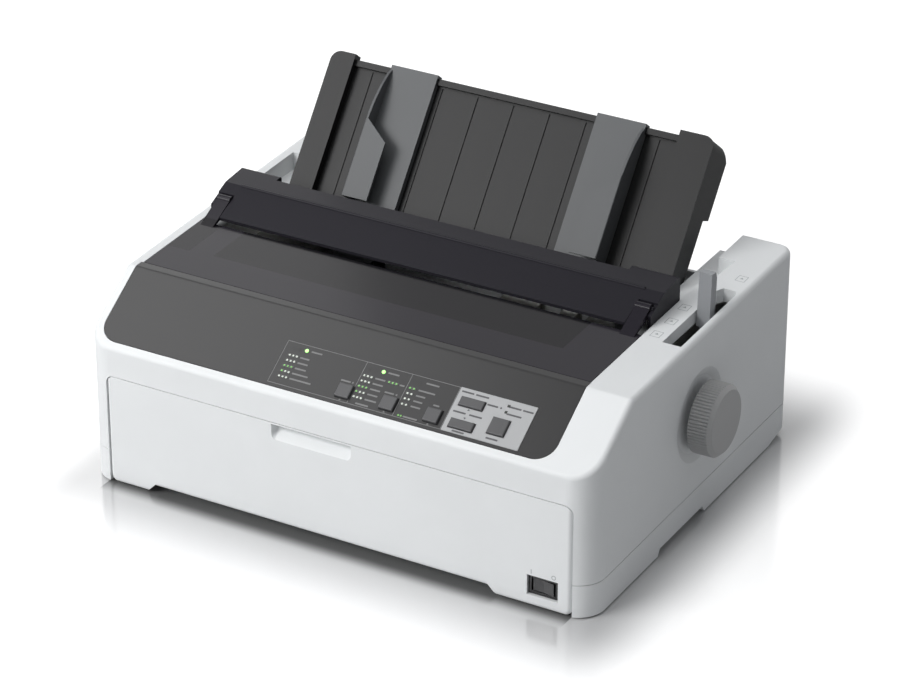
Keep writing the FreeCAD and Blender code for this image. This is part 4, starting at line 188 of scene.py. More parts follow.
# The sky's colour, its strength at the left and right, and what glossy pieces see before and behind
# them, with the directions that each changes between
SKY_COLOUR = (0.94, 0.965, 1.0, 1.0)
SKY_SIDE = 0.8
SKY_LEFT, SKY_RIGHT = 0.36, 0.25
MIRROR_FROM, MIRROR_TO = 0.1, 0.6
MIRROR_FRONT, MIRROR_BACK = 0.3, 1.0
WHITE = (1.0, 1.0, 1.0, 1.0)

# Lamps: name, place, aim, size in metres, watts, and whether matt and glossy surfaces take their light.
# The last two are cards that show only as a sheen on the left of the dark pieces.
LAMPS = (
    ("key_softbox", (-1.15, -1.75, 1.45), (0.0, 0.0, 0.08), (1.3, 1.0), 39.0, True, True),
    ("top_softbox", (-0.1, -0.1, 2.4), (0.0, 0.0, 0.08), (1.8, 1.4), 14.0, True, False),
    ("front_sheen", (-0.78, -0.25, 0.95), (-0.2, -0.1, 0.15), (0.7, 0.9), 6.6, False, True),
    ("rear_sheen", (-1.05, 0.9, 0.8), (-0.2, 0.0, 0.15), (0.7, 0.7), 1.5, False, True),
)


class PrinterColours(bpy.types.PropertyGroup):
    """Colours of the outside and inside finishes."""

    case: bpy.props.FloatVectorProperty(
        name="Case", description="Moulded case and front cover",
        subtype="COLOR", size=3, min=0, max=1, default=(0.80, 0.815, 0.82))
    panel: bpy.props.FloatVectorProperty(
        name="Panel", description="Control panel sheet",
        subtype="COLOR", size=3, min=0, max=1, default=(0.016, 0.0158, 0.0165))
    plate: bpy.props.FloatVectorProperty(
        name="Button plate", description="Pale plate round the paper feed buttons",
        subtype="COLOR", size=3, min=0, max=1, default=(0.42, 0.425, 0.43))
    cover: bpy.props.FloatVectorProperty(
        name="Printer cover", description="Smoked hump over the platen",
        subtype="COLOR", size=3, min=0, max=1, default=(0.017, 0.016, 0.021))
    window: bpy.props.FloatVectorProperty(
        name="Exit window", description="Smoked flat window before the hump",
        subtype="COLOR", size=3, min=0, max=1, default=(0.021, 0.019, 0.025))
    guide: bpy.props.FloatVectorProperty(
        name="Paper guide", description="Dark leaning paper guide",
        subtype="COLOR", size=3, min=0, max=1, default=(0.013, 0.013, 0.0135))
    edge_guide: bpy.props.FloatVectorProperty(
        name="Edge guides", description="Sliding guides for the paper's edges",
        subtype="COLOR", size=3, min=0, max=1, default=(0.100, 0.104, 0.108))
    knob: bpy.props.FloatVectorProperty(
        name="Knob", description="Fluted platen knob",
        subtype="COLOR", size=3, min=0, max=1, default=(0.42, 0.42, 0.42))
    lever: bpy.props.FloatVectorProperty(
        name="Lever", description="Paper release lever",
        subtype="COLOR", size=3, min=0, max=1, default=(0.32, 0.33, 0.345))
    button: bpy.props.FloatVectorProperty(
        name="Buttons", description="Push buttons of the panel",
        subtype="COLOR", size=3, min=0, max=1, default=(0.085, 0.085, 0.088))
    light: bpy.props.FloatVectorProperty(
        name="Light bars", description="Dark bars that carry the panel's small lenses",
        subtype="COLOR", size=3, min=0, max=1, default=(0.012, 0.016, 0.012))
    legend: bpy.props.FloatVectorProperty(
        name="Legends", description="Pale print on the dark panel",
        subtype="COLOR", size=3, min=0, max=1, default=(0.20, 0.20, 0.20))


class PrinterSizes(bpy.types.PropertyGroup):
    """Sizes of the surface detail."""

    grain: bpy.props.FloatProperty(
        name="Moulding grain", description="Distance over which the fine texture of the case repeats",
        subtype="DISTANCE", unit="LENGTH", min=0.0001, default=0.0007)
    mark: bpy.props.FloatProperty(
        name="Mark thickness", description="Height of the printed marks above the panel",
        subtype="DISTANCE", unit="LENGTH", min=0.00001, default=0.00006)
    floor: bpy.props.FloatProperty(
        name="Floor", description="Half width of the studio floor",
        subtype="DISTANCE", unit="LENGTH", min=1.0, default=6.0)


class Signal:
    """A shader socket that takes part in Python arithmetic."""

    def __init__(self, finish, socket):
        self.finish = finish
        self.socket = socket

    def maths(self, operation, first, second=0.0):
        return self.finish.node("ShaderNodeMath", {"operation": operation}, {0: first, 1: second})

    def __add__(self, other):
        return self.maths("ADD", self, other)

    def __radd__(self, other):
        return self.maths("ADD", other, self)

    def __sub__(self, other):
        return self.maths("SUBTRACT", self, other)

    def __rsub__(self, other):
        return self.maths("SUBTRACT", other, self)

    def __mul__(self, other):
        return self.maths("MULTIPLY", self, other)

    def __rmul__(self, other):
        return self.maths("MULTIPLY", other, self)


class Finish:
    """A procedural material made with one method that adds any node."""

    def __init__(self, name, world=False):
        self.world = world
        self.material = (bpy.data.worlds if world else bpy.data.materials).new(name)
        self.material.use_nodes = True
        self.tree = self.material.node_tree
        self.tree.nodes.clear()
        self.output = self.tree.nodes.new(
            "ShaderNodeOutputWorld" if world else "ShaderNodeOutputMaterial")

    def node(self, kind, settings=None, inputs=None, output=0):
        """Adds a node: its settings first, then the values or links of its sockets."""
        made = self.tree.nodes.new(kind)
        for name, setting in (settings or {}).items():
            setattr(made, name, setting)
        for name, amount in (inputs or {}).items():
            if isinstance(amount, Signal):
                self.tree.links.new(amount.socket, made.inputs[name])
            else:
                made.inputs[name].default_value = amount
        return Signal(self, made.outputs[output])

    def place(self):
        """Object coordinates, which are the frame's own metres, or a world's directions."""
        return self.node("ShaderNodeTexCoord", output="Generated" if self.world else "Object")

    def noise(self, size, detail):
        """Soft noise whose features are about a given size, in metres."""
        return self.node("ShaderNodeTexNoise", {}, {
            "Vector": self.place(), "Scale": 1.0 / size, "Detail": detail, "Roughness": 0.55})

    def axes(self):
        """The three coordinates of the shaded point, in metres."""
        split = self.node("ShaderNodeSeparateXYZ", {}, {"Vector": self.place()}).socket.node
        return [Signal(self, split.outputs[axis]) for axis in "XYZ"]

    def between(self, signal, low, high, soft=0.0001):
        """1 where the signal lies between two values, with soft edges."""
        return self.ramp(signal, low - soft, low + soft) * self.ramp(signal, high + soft, high - soft)

    def ramp(self, signal, low, high, first=0.0, last=1.0, way="LINEAR"):
        """A value that runs from the first to the last while the signal runs from low to high."""
        return self.node("ShaderNodeMapRange", {"interpolation_type": way}, {
            "Value": signal, "From Min": low, "From Max": high, "To Min": first, "To Max": last})

    def vector(self, operation, first, second=(0.0, 0.0, 0.0)):
        """Arithmetic on all three coordinates at once."""
        return self.node("ShaderNodeVectorMath", {"operation": operation}, {0: first, 1: second})

    def blend(self, factor, first, second):
        return self.node("ShaderNodeMix", {"data_type": "RGBA"}, {
            "Factor": factor, "A": solid(first), "B": solid(second)}, output="Result")

    def bump(self, height, strength, distance):
        return self.node("ShaderNodeBump", {}, {
            "Height": height, "Strength": strength, "Distance": distance})

    def surface(self, **inputs):
        """A Principled shader whose sockets are named in plain snake case, wired to the output."""
        named = {name.replace("_", " ").title().replace("Ior", "IOR"): amount
                 for name, amount in inputs.items()}
        shader = self.node("ShaderNodeBsdfPrincipled", {}, named, output="BSDF")
        self.wire(shader)
        return shader

    def wire(self, shader):
        self.tree.links.new(shader.socket, self.output.inputs["Surface"])


def solid(colour):
    """A colour with full alpha, or the link that was handed in."""
    return colour if isinstance(colour, Signal) else (*tuple(colour)[:3], 1.0)


def shade(colour, factor):
    """A colour made darker or paler."""
    return tuple(min(part * factor, 1.0) for part in tuple(colour)[:3])


def colours():
    return bpy.context.scene.printer_colours


def sizes():
    return bpy.context.scene.printer_sizes


def moulded(name, colour, roughness=0.5, bump=0.12, gloss=0.35):
    """Moulded plastic with a fine spark-eroded grain and a faint drift of tone."""
    finish = Finish(name)
    size = sizes().grain
    fine = finish.noise(size, detail=2.0)
    broad = finish.noise(size=0.06, detail=2.0)
    tone = finish.blend(broad, shade(colour, 0.96), shade(colour, 1.04))
    finish.surface(
        base_color=tone,
        roughness=roughness + (fine - 0.5) * 0.12,
        normal=finish.bump(fine, strength=bump, distance=size * 0.12),
        specular_ior_level=gloss,
    )
    return finish.material


def smoked(name, colour, roughness=0.18, panes=()):
    """Smoked gloss plastic with faint moulding waves and dust, and darker oblong panes of painted shade."""
    finish = Finish(name)
    wave = finish.noise(size=0.035, detail=1.0)
    dust = finish.noise(size=0.0012, detail=4.0)
    tone = finish.blend(dust, shade(colour, 0.92), shade(colour, 1.1))
    across, depth, _ = finish.axes()
    # Each pane is painted shade: a darker patch of the window where the hollow under it shows through
    for left, right, front, back, factor in panes:
        inside = (finish.between(across, left, right, PANE_SOFT)
                  * finish.between(depth, front, back, PANE_SOFT))
        tone = finish.blend(inside, tone, shade(colour, factor))
    finish.surface(
        base_color=tone,
        roughness=roughness + (dust - 0.4) * 0.14,
        normal=finish.bump(wave, strength=0.06, distance=0.001),
        specular_ior_level=0.12,
    )
    return finish.material


def rolled_metal(name, colour, roughness=0.34, lay=(1.0, 14.0, 14.0), metallic=1.0, size=0.004):
    """Metal with the fine lay of rolling, drawing or grinding along one axis."""
    finish = Finish(name)
    lines = finish.node("ShaderNodeTexNoise", {}, {
        "Vector": finish.vector("MULTIPLY", finish.place(), lay), "Scale": 1.0 / size, "Detail": 4.0})
    patches = finish.noise(size=0.02, detail=2.0)
    tone = finish.blend(patches, shade(colour, 0.9), shade(colour, 1.06))
    finish.surface(
        base_color=tone,
        metallic=metallic,
        roughness=roughness + (lines - 0.5) * 0.2,
        normal=finish.bump(lines, strength=0.08, distance=0.0002),
    )
    return finish.material


def soft_rubber(name, colour, roughness=0.72):
    """Matt rubber with a fine ground surface."""
    finish = Finish(name)
    fine = finish.noise(size=0.0009, detail=3.0)
    tone = finish.blend(fine, shade(colour, 0.8), shade(colour, 1.25))
    finish.surface(base_color=tone, roughness=roughness + (fine - 0.5) * 0.15,
                   normal=finish.bump(fine, strength=0.25, distance=0.0002))
    return finish.material


def inked_weave(name, colour):
    """Woven nylon of the ribbon, its threads running both ways."""
    finish = Finish(name)
    warp, weft = [
        finish.node("ShaderNodeTexWave", {"bands_direction": way}, {"Vector": finish.place(), "Scale": 900.0})
        for way in "XZ"]
    weave = warp * weft
    tone = finish.blend(weave, shade(colour, 0.6), shade(colour, 1.8))
    finish.surface(base_color=tone, roughness=0.78,
                   normal=finish.bump(weave, strength=0.3, distance=0.0001))
    return finish.material


def circuit_board(name, colour):
    """Green board with a faint pattern of tracks under its lacquer."""
    finish = Finish(name)
    cells = finish.node("ShaderNodeTexVoronoi", {"distance": "MANHATTAN", "feature": "F1"}, {
        "Vector": finish.place(), "Scale": 130.0}, output="Distance")
    tracks = finish.node("ShaderNodeMath", {"operation": "LESS_THAN"}, {0: cells, 1: 0.32})
    tone = finish.blend(tracks, shade(colour, 0.75), shade(colour, 1.45))
    finish.surface(base_color=tone, roughness=0.32, coat_weight=0.4, coat_roughness=0.15,
                   normal=finish.bump(tracks, strength=0.1, distance=0.0001))
    return finish.material


def panel_sheet(name, colour, plate):
    """Satin panel, its button plate paler than the rest; the plate is found by its place on the slope."""
    finish = Finish(name)
    fine = finish.noise(size=0.0006, detail=3.0)
    across, depth, height = finish.axes()
    depth = depth - SLOPE_FOOT[1]
    height = height - SLOPE_FOOT[2]
    up = depth * math.cos(SLOPE_ANGLE) + height * math.sin(SLOPE_ANGLE)
    out = height * math.cos(SLOPE_ANGLE) - depth * math.sin(SLOPE_ANGLE)
    inside = (finish.between(across, *PLATE_ACROSS) * finish.between(up, *PLATE_UP)
              * finish.between(out, -0.0005, 0.002))
    sheet = finish.blend(fine, shade(colour, 0.93), shade(colour, 1.07))
    pale = finish.blend(fine, shade(plate, 0.97), shade(plate, 1.03))
    tone = finish.blend(inside, sheet, pale)
    finish.surface(base_color=tone, roughness=0.36 + (fine - 0.5) * 0.12, specular_ior_level=0.4,
                   normal=finish.bump(fine, strength=0.1, distance=0.00008))
    return finish.material


def lens(name, colour, glow=0.0):
    """Clear coloured plastic of a small light, glowing by the given strength: a lamp when the light is lit,
    painted light when it is not.
    """
    finish = Finish(name)
    fine = finish.noise(size=0.0008, detail=1.0)
    tone = finish.blend(fine, shade(colour, 0.85), shade(colour, 1.1))
    finish.surface(base_color=tone, roughness=0.2 + fine * 0.1,
                   emission_color=tone, emission_strength=glow)
    return finish.material


def give(material, *nodes):
    """Puts a finish on every material slot of the named CAD nodes."""
    for name in nodes:
        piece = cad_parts[name]
        if not piece.material_slots:
            piece.data.materials.append(material)
        for place in piece.material_slots:
            place.material = material


def new_piece(name, mesh, material, body):
    """Makes an object of a mesh that is already in the frame's metres and lets it ride."""
    piece = bpy.data.objects.new(name, mesh)
    bpy.context.scene.collection.objects.link(piece)
    mesh.materials.append(material)
    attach(piece, body)
    return piece


def on_slope(across, up, out):
    """A place on the panel, in millimetres across the case, up the slope and out from it."""
    angle = SLOPE_ANGLE
    return Vector((
        SLOPE_FOOT[0] + across / 1000,
        SLOPE_FOOT[1] + (up * math.cos(angle) - out * math.sin(angle)) / 1000,
        SLOPE_FOOT[2] + (up * math.sin(angle) + out * math.cos(angle)) / 1000,
    ))


def tablet(mesh, centre, wide, tall, low, high, spot=on_slope):
    """Adds a thin rounded block to a bmesh, drawn in the coordinates of a flat place."""
    radius = min(wide, tall) * CORNER_SHARE
    outline = []
    for corner, (side, level) in enumerate(((1, 1), (-1, 1), (-1, -1), (1, -1))):
        for turn in CORNER_TURNS:
            angle = math.radians(corner * 90 + turn)
            outline.append((
                centre[0] + side * (wide / 2 - radius) + radius * math.cos(angle),
                centre[1] + level * (tall / 2 - radius) + radius * math.sin(angle)))
    prism(mesh, outline, low, high, spot)


def disc(mesh, centre, radius, low, high, sides=LENS_SIDES):
    """Adds a low round stud to a bmesh, on the panel."""
    angles = [math.tau * step / sides for step in range(sides)]
    places = [(centre[0] + radius * math.cos(angle), centre[1] + radius * math.sin(angle))
              for angle in angles]
    prism(mesh, places, low, high)


def ring(mesh, centre, radius, width, low, high, spot=on_slope):
    """Adds a flat ring to a bmesh, as short blocks side by side."""
    for step in range(RING_SIDES):
        first = math.tau * step / RING_SIDES
        second = math.tau * (step + 1) / RING_SIDES
        corners = ((radius, first), (radius, second), (radius - width, second), (radius - width, first))
        places = [(centre[0] + reach * math.cos(angle), centre[1] + reach * math.sin(angle))
                  for reach, angle in corners]
        prism(mesh, places, low, high, spot)


def prism(mesh, places, low, high, spot=on_slope):
    """Adds a straight block over an outline drawn in the coordinates of a flat place."""
    top = [mesh.verts.new(spot(a, b, high)) for a, b in places]
    base = [mesh.verts.new(spot(a, b, low)) for a, b in places]
    mesh.faces.new(top)
    mesh.faces.new(base[::-1])
    for index in range(len(places)):
        following = (index + 1) % len(places)
        mesh.faces.new((base[index], base[following], top[following], top[index]))


def printed(name, draw, material, body):
    """Adds a piece of flat marks, which the given function draws into a new mesh."""
    mesh = bmesh.new()
    draw(mesh)
    new_piece(name, finished_mesh(name, mesh), material, body)


def landing(node, start, direction):
    """Where a straight line from a place first meets a CAD node."""
    hit, place, *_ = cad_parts[node].ray_cast(Vector(start), Vector(direction))
    if not hit:
        raise RuntimeError(f"no surface of {node} on the line from {start}")
    return place


def on_deck(across, deep, out):
    """A place on the case's top: millimetres across, back from its middle and up from the surface."""
    x = CASE_MIDDLE[0] + across / 1000
    y = CASE_MIDDLE[1] + deep / 1000
    return landing("upper_case", (x, y, RAY_START), (0, 0, -1)) + Vector((0, 0, out / 1000))


def on_front(across, high, out):
    """A place on the front cover: millimetres across, up from the floor and out from the surface."""
    x = CASE_MIDDLE[0] + across / 1000
    return landing("front_cover", (x, -RAY_START, high / 1000), (0, 1, 0)) + Vector((0, -out / 1000, 0))


def finished_mesh(name, mesh):
    """Turns a bmesh into a mesh whose faces look outward."""
    data = bpy.data.meshes.new(name)
    bmesh.ops.recalc_face_normals(mesh, faces=mesh.faces)
    mesh.to_mesh(data)
    mesh.free()
    return data


class PRINTER_OT_case(bpy.types.Operator):
    """Finish the case halves, the front cover and the power switch"""

    bl_idname = "printer.case"
    bl_label = "Case and front cover"

    def execute(self, context):
        white = moulded("case_white", colours().case, roughness=0.46, bump=0.16)
        give(white, "upper_case", "lower_case", "front_cover")
        give(moulded("switch_black", (0.016, 0.016, 0.017), roughness=0.35), "rocker_bezel", "mains_inlet")
        give(moulded("rocker_black", (0.022, 0.022, 0.024), roughness=0.25, bump=0.05), "power_rocker")
        grey = moulded("pad_print_grey", (0.42, 0.44, 0.45), roughness=0.5, bump=0.02)
        printed("switch_marks", self.switch_marks, grey, "front_cover")
        printed("lever_marks", self.lever_marks, grey, "case")
        give(soft_rubber("foot_rubber", (0.05, 0.05, 0.05)), "rubber_feet")
        give(rolled_metal("zinc_screw", (0.55, 0.55, 0.54)), "case_screws")
        return {"FINISHED"}

    def switch_marks(self, mesh):
        """The two marks of a switch, a stroke for on and a ring for off."""
        tablet(mesh, SWITCH_ON, *SWITCH_STROKE, MARK_SUNK, SWITCH_PROUD, on_front)
        ring(mesh, SWITCH_OFF, *SWITCH_RING, MARK_SUNK, SWITCH_PROUD, on_front)

    def lever_marks(self, mesh):
        """Outlines of a sheet of paper with an arrow, beside each place of the release lever."""
        half, foot, tip = LEVER_ARROW
        for across, deep in LEVER_PLACES:
            for side in (-1, 1):
                tablet(mesh, (across + side * LEVER_SHEET[0], deep), LEVER_STROKE, LEVER_EDGES[0],
                       MARK_SUNK, MARK_PROUD, on_deck)
                tablet(mesh, (across, deep + side * LEVER_SHEET[1]), LEVER_EDGES[1], LEVER_STROKE,
                       MARK_SUNK, MARK_PROUD, on_deck)
            prism(mesh, [(across - half, deep - foot), (across + half, deep - foot), (across, deep + tip)],
                  MARK_SUNK, MARK_PROUD, on_deck)


class PRINTER_OT_panel(bpy.types.Operator):
    """Finish the control panel, its buttons and lights, and add its plain marks"""

    bl_idname = "printer.panel"
    bl_label = "Control panel"

    def execute(self, context):
        give(panel_sheet("panel_sheet", colours().panel, colours().plate), "control_panel")
        dark = moulded("button_dark", colours().button, roughness=0.38, bump=0.06)
        give(dark, "button_one", "button_two", "button_three",
             "wide_button_upper", "wide_button_lower", "large_button")
        give(lens("light_unlit", colours().light), "panel_lights")
        give(circuit_board("switch_board_green", (0.02, 0.12, 0.045)), "switch_board")
        pale = moulded("legend_ink", colours().legend, roughness=0.5, bump=0.02)
        dark_ink = moulded("plate_ink", (0.10, 0.10, 0.105), roughness=0.5, bump=0.02)
        ring_ink = moulded("ring_ink", (0.022, 0.022, 0.024), bump=0.02)
        for name, draw, ink in (
                ("panel_lines", self.lines, pale), ("panel_prints", self.legends, pale),
                ("plate_prints", self.plate_legends, dark_ink), ("panel_rings", self.rings, ring_ink)):
            printed(name, draw, ink, "case")
        # Painted light: the unlit clear lenses glow faintly though no lamp lights them, and the green lenses
        # glow a little more; the two lit lenses glow as lamps
        for name, draw, finish in (
                ("lenses_clear", self.clear, lens("lens_clear", (0.62, 0.66, 0.60), 0.12)),
                ("lenses_green", self.green, lens("lens_green", (0.16, 0.42, 0.10), 0.25)),
                ("lit_lenses", self.lit, lens("light_green", (0.42, 0.95, 0.26), 1.1))):
            printed(name, draw, finish, "case")
        return {"FINISHED"}

    def lines(self, mesh):
        """Thin lines in the panel's fine grooves, round its three blocks."""
        for up in LINES_ALONG:
            tablet(mesh, (LINES_MIDDLE[0], up), LINES_LONG[0], LINE_WIDE, LINE_FOOT, LINE_TOPS[0])
        for across in LINES_UP:
            tablet(mesh, (across, LINES_MIDDLE[1]), LINE_WIDE, LINES_LONG[1], LINE_FOOT, LINE_TOPS[1])

    def bars(self, mesh, rows, tall, surface):
        high = surface + sizes().mark * 1000
        for left, right, up in rows:
            tablet(mesh, ((left + right) / 2, up), right - left, tall, surface + MARK_SUNK, high)

    def arrows(self, mesh, rows, surface):
        high = surface + sizes().mark * 1000
        for across, up, way in rows:
            foot, tip = up - ARROW_FOOT * way, up + ARROW_TIP * way
            prism(mesh, [(across - ARROW_HALF, foot), (across + ARROW_HALF, foot), (across, tip)],
                  surface + MARK_SUNK, high)

    def legends(self, mesh):
        self.bars(mesh, PANEL_LEGENDS, BAR_TALL, 0.0)
        self.arrows(mesh, PANEL_ARROWS, 0.0)
        for place in PANEL_DOTS:
            disc(mesh, place, DOT_RADIUS, MARK_SUNK, DOT_TOP)

    def plate_legends(self, mesh):
        self.bars(mesh, PLATE_LEGENDS, PLATE_BAR_TALL, PLATE_RISE)
        self.arrows(mesh, PLATE_ARROWS, PLATE_RISE)
        disc(mesh, PLATE_DOT, PLATE_DOT_RADIUS, PLATE_RISE + MARK_SUNK, PLATE_RISE + PLATE_DOT_TOP)

    def rings(self, mesh):
        for across in RINGS:
            ring(mesh, (across, RINGS_UP), RING_RADIUS, RING_WIDE, MARK_SUNK, MARK_PROUD)

    def lenses(self, mesh, places):
        """Lenses that stand on the dark bars."""
        for place in places:
            disc(mesh, place, LENS_RADIUS, LENS_FOOT, LENS_TOP)

    def clear(self, mesh):
        """The unlit lenses: all but the third row, and but the first of the second, which are green."""
        for block in (BLOCK_ONE, BLOCK_TWO):
            for row, up in enumerate(LIGHT_ROWS):
                if row != 2:
                    self.lenses(mesh, [(across, up) for across in (block[1:] if row == 1 else block)])
        for up in LIGHT_ROWS[1:4]:
            self.lenses(mesh, [(across, up) for across in BLOCK_THREE])

    def green(self, mesh):
        self.lenses(mesh, [(across, LIGHT_ROWS[2]) for across in BLOCK_ONE + BLOCK_TWO])
        self.lenses(mesh, [(block[0], LIGHT_ROWS[1]) for block in (BLOCK_ONE, BLOCK_TWO)])
        self.lenses(mesh, [(across, LIGHT_ROWS[4]) for across in BLOCK_THREE + SINGLE_ROW])
        for across in FOOT_LENSES:
            disc(mesh, (across, FOOT_ROW), LENS_RADIUS, MARK_SUNK, LENS_FOOT)

    def lit(self, mesh):
        for across in LIT:
            disc(mesh, (across, LIT_UP), LIT_RADIUS, LIT_FOOT, LIT_TOP, LIT_SIDES)


class PRINTER_OT_covers(bpy.types.Operator):
    """Finish the smoked printer cover and the exit window"""

    bl_idname = "printer.covers"
    bl_label = "Printer cover and exit window"

    def execute(self, context):
        give(smoked("hump_smoke", colours().cover, roughness=0.34), "printer_cover")
        x, y = CASE_MIDDLE
        # Panes of painted shade, where the dark hollow beneath shows through the window
        panes = [(x + left, x + right, y + front, y + back, factor)
                 for left, right, front, back, factor in WINDOW_SHADE_PANES]
        give(smoked("window_smoke", colours().window, roughness=0.16, panes=panes), "exit_window")
        return {"FINISHED"}


class PRINTER_OT_paper_guide(bpy.types.Operator):
    """Finish the paper guide and its edge guides"""

    bl_idname = "printer.paper_guide"
    bl_label = "Paper guide"

    def execute(self, context):
        give(moulded("guide_black", colours().guide, roughness=0.42, bump=0.12, gloss=0.22), "paper_guide")
        give(moulded("edge_guide_grey", colours().edge_guide, roughness=0.4, bump=0.06, gloss=0.25),
             "left_edge_guide", "right_edge_guide")
        return {"FINISHED"}


class PRINTER_OT_feed(bpy.types.Operator):
    """Finish the platen, its knob, the release lever, the gears and the tractors"""

    bl_idname = "printer.feed"
    bl_label = "Paper feed"

    def execute(self, context):
        give(moulded("knob_grey", colours().knob, roughness=0.45, bump=0.1), "platen_knob")
        give(moulded("lever_grey", colours().lever, roughness=0.4, bump=0.06),
             "release_lever", "ribbon_knob")
        give(soft_rubber("platen_rubber", (0.035, 0.035, 0.037), 0.6), "platen_roller")
        ground = rolled_metal("ground_steel", (0.62, 0.62, 0.63), roughness=0.22, lay=(14.0, 1.0, 1.0))
        give(ground, "platen_shaft", "tractor_shaft", "support_rod", "carriage_rod", "motor_pinion")
        acetal = moulded("acetal_white", (0.72, 0.70, 0.64), roughness=0.38, bump=0.04)
        give(acetal, "platen_gear", "compound_gear", "tractor_idler_gear", "tractor_gear", "platen_bushes",
             "left_sprocket", "right_sprocket", "belt_drive_pulley", "belt_idler_pulley")
        give(moulded("tractor_grey", (0.06, 0.062, 0.066), roughness=0.45),
             "left_tractor", "right_tractor", "left_tractor_door", "right_tractor_door")
        zinc = rolled_metal("zinc_sheet", (0.46, 0.46, 0.445), roughness=0.48)
        give(zinc, "left_frame", "right_frame", "base_plate", "carriage_rail")
        give(rolled_metal("chute_sheet", (0.24, 0.24, 0.235), roughness=0.62, metallic=0.7), "paper_chute")
        return {"FINISHED"}


class PRINTER_OT_carriage(bpy.types.Operator):
    """Finish the carriage, the print head, the belt and the ribbon"""

    bl_idname = "printer.carriage"
    bl_label = "Carriage and ribbon"

    def execute(self, context):
        give(moulded("carriage_black", (0.03, 0.03, 0.032), roughness=0.4), "carriage")
        give(rolled_metal("cast_head", (0.34, 0.35, 0.36), roughness=0.5, lay=(1.0, 1.0, 1.0), size=0.001),
             "print_head")
        give(soft_rubber("belt_rubber", (0.03, 0.03, 0.03)), "drive_belt")
        give(moulded("cartridge_grey", (0.05, 0.05, 0.052), roughness=0.36), "ribbon_cartridge")
        self.ribbon()
        return {"FINISHED"}

    def ribbon(self):
        """The inked nylon band, drawn taut between the cartridge's arms just before the platen."""
        low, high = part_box("ribbon")
        middle = (low[1] + high[1]) / 2
        heights = [low[2] + (high[2] - low[2]) * row / RIBBON_ROWS for row in range(RIBBON_ROWS + 1)]
        mesh = bmesh.new()
        columns = []
        for step in range(RIBBON_STEPS + 1):
            across = low[0] + (high[0] - low[0]) * step / RIBBON_STEPS
            sway = RIBBON_SWAY * math.sin(math.tau * RIBBON_WAVES * step / RIBBON_STEPS)
            columns.append([mesh.verts.new((across, middle + sway * (0.5 - row / RIBBON_ROWS), height))
                            for row, height in enumerate(heights)])
        for first, second in zip(columns, columns[1:]):
            for row in range(RIBBON_ROWS):
                mesh.faces.new((first[row], second[row], second[row + 1], first[row + 1]))
        band = new_piece("ribbon_band", finished_mesh("ribbon_band", mesh),
                         inked_weave("ribbon_weave", (0.02, 0.02, 0.024)), "case")
        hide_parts("ribbon")


class PRINTER_OT_electrics(bpy.types.Operator):
    """Finish the boards, the motors, the power supply and the sockets"""

    bl_idname = "printer.electrics"
    bl_label = "Electrics"

    def execute(self, context):
        give(circuit_board("main_board_green", (0.015, 0.10, 0.04)), "main_board")
        give(rolled_metal("motor_lacquer", (0.05, 0.05, 0.055), roughness=0.4, metallic=0.3),
             "carriage_motor", "feed_motor")
        give(rolled_metal("supply_alloy", (0.55, 0.56, 0.57), roughness=0.42), "power_supply")
        give(rolled_metal("socket_shell", (0.5, 0.5, 0.49), roughness=0.35), "interface_sockets")
        return {"FINISHED"}


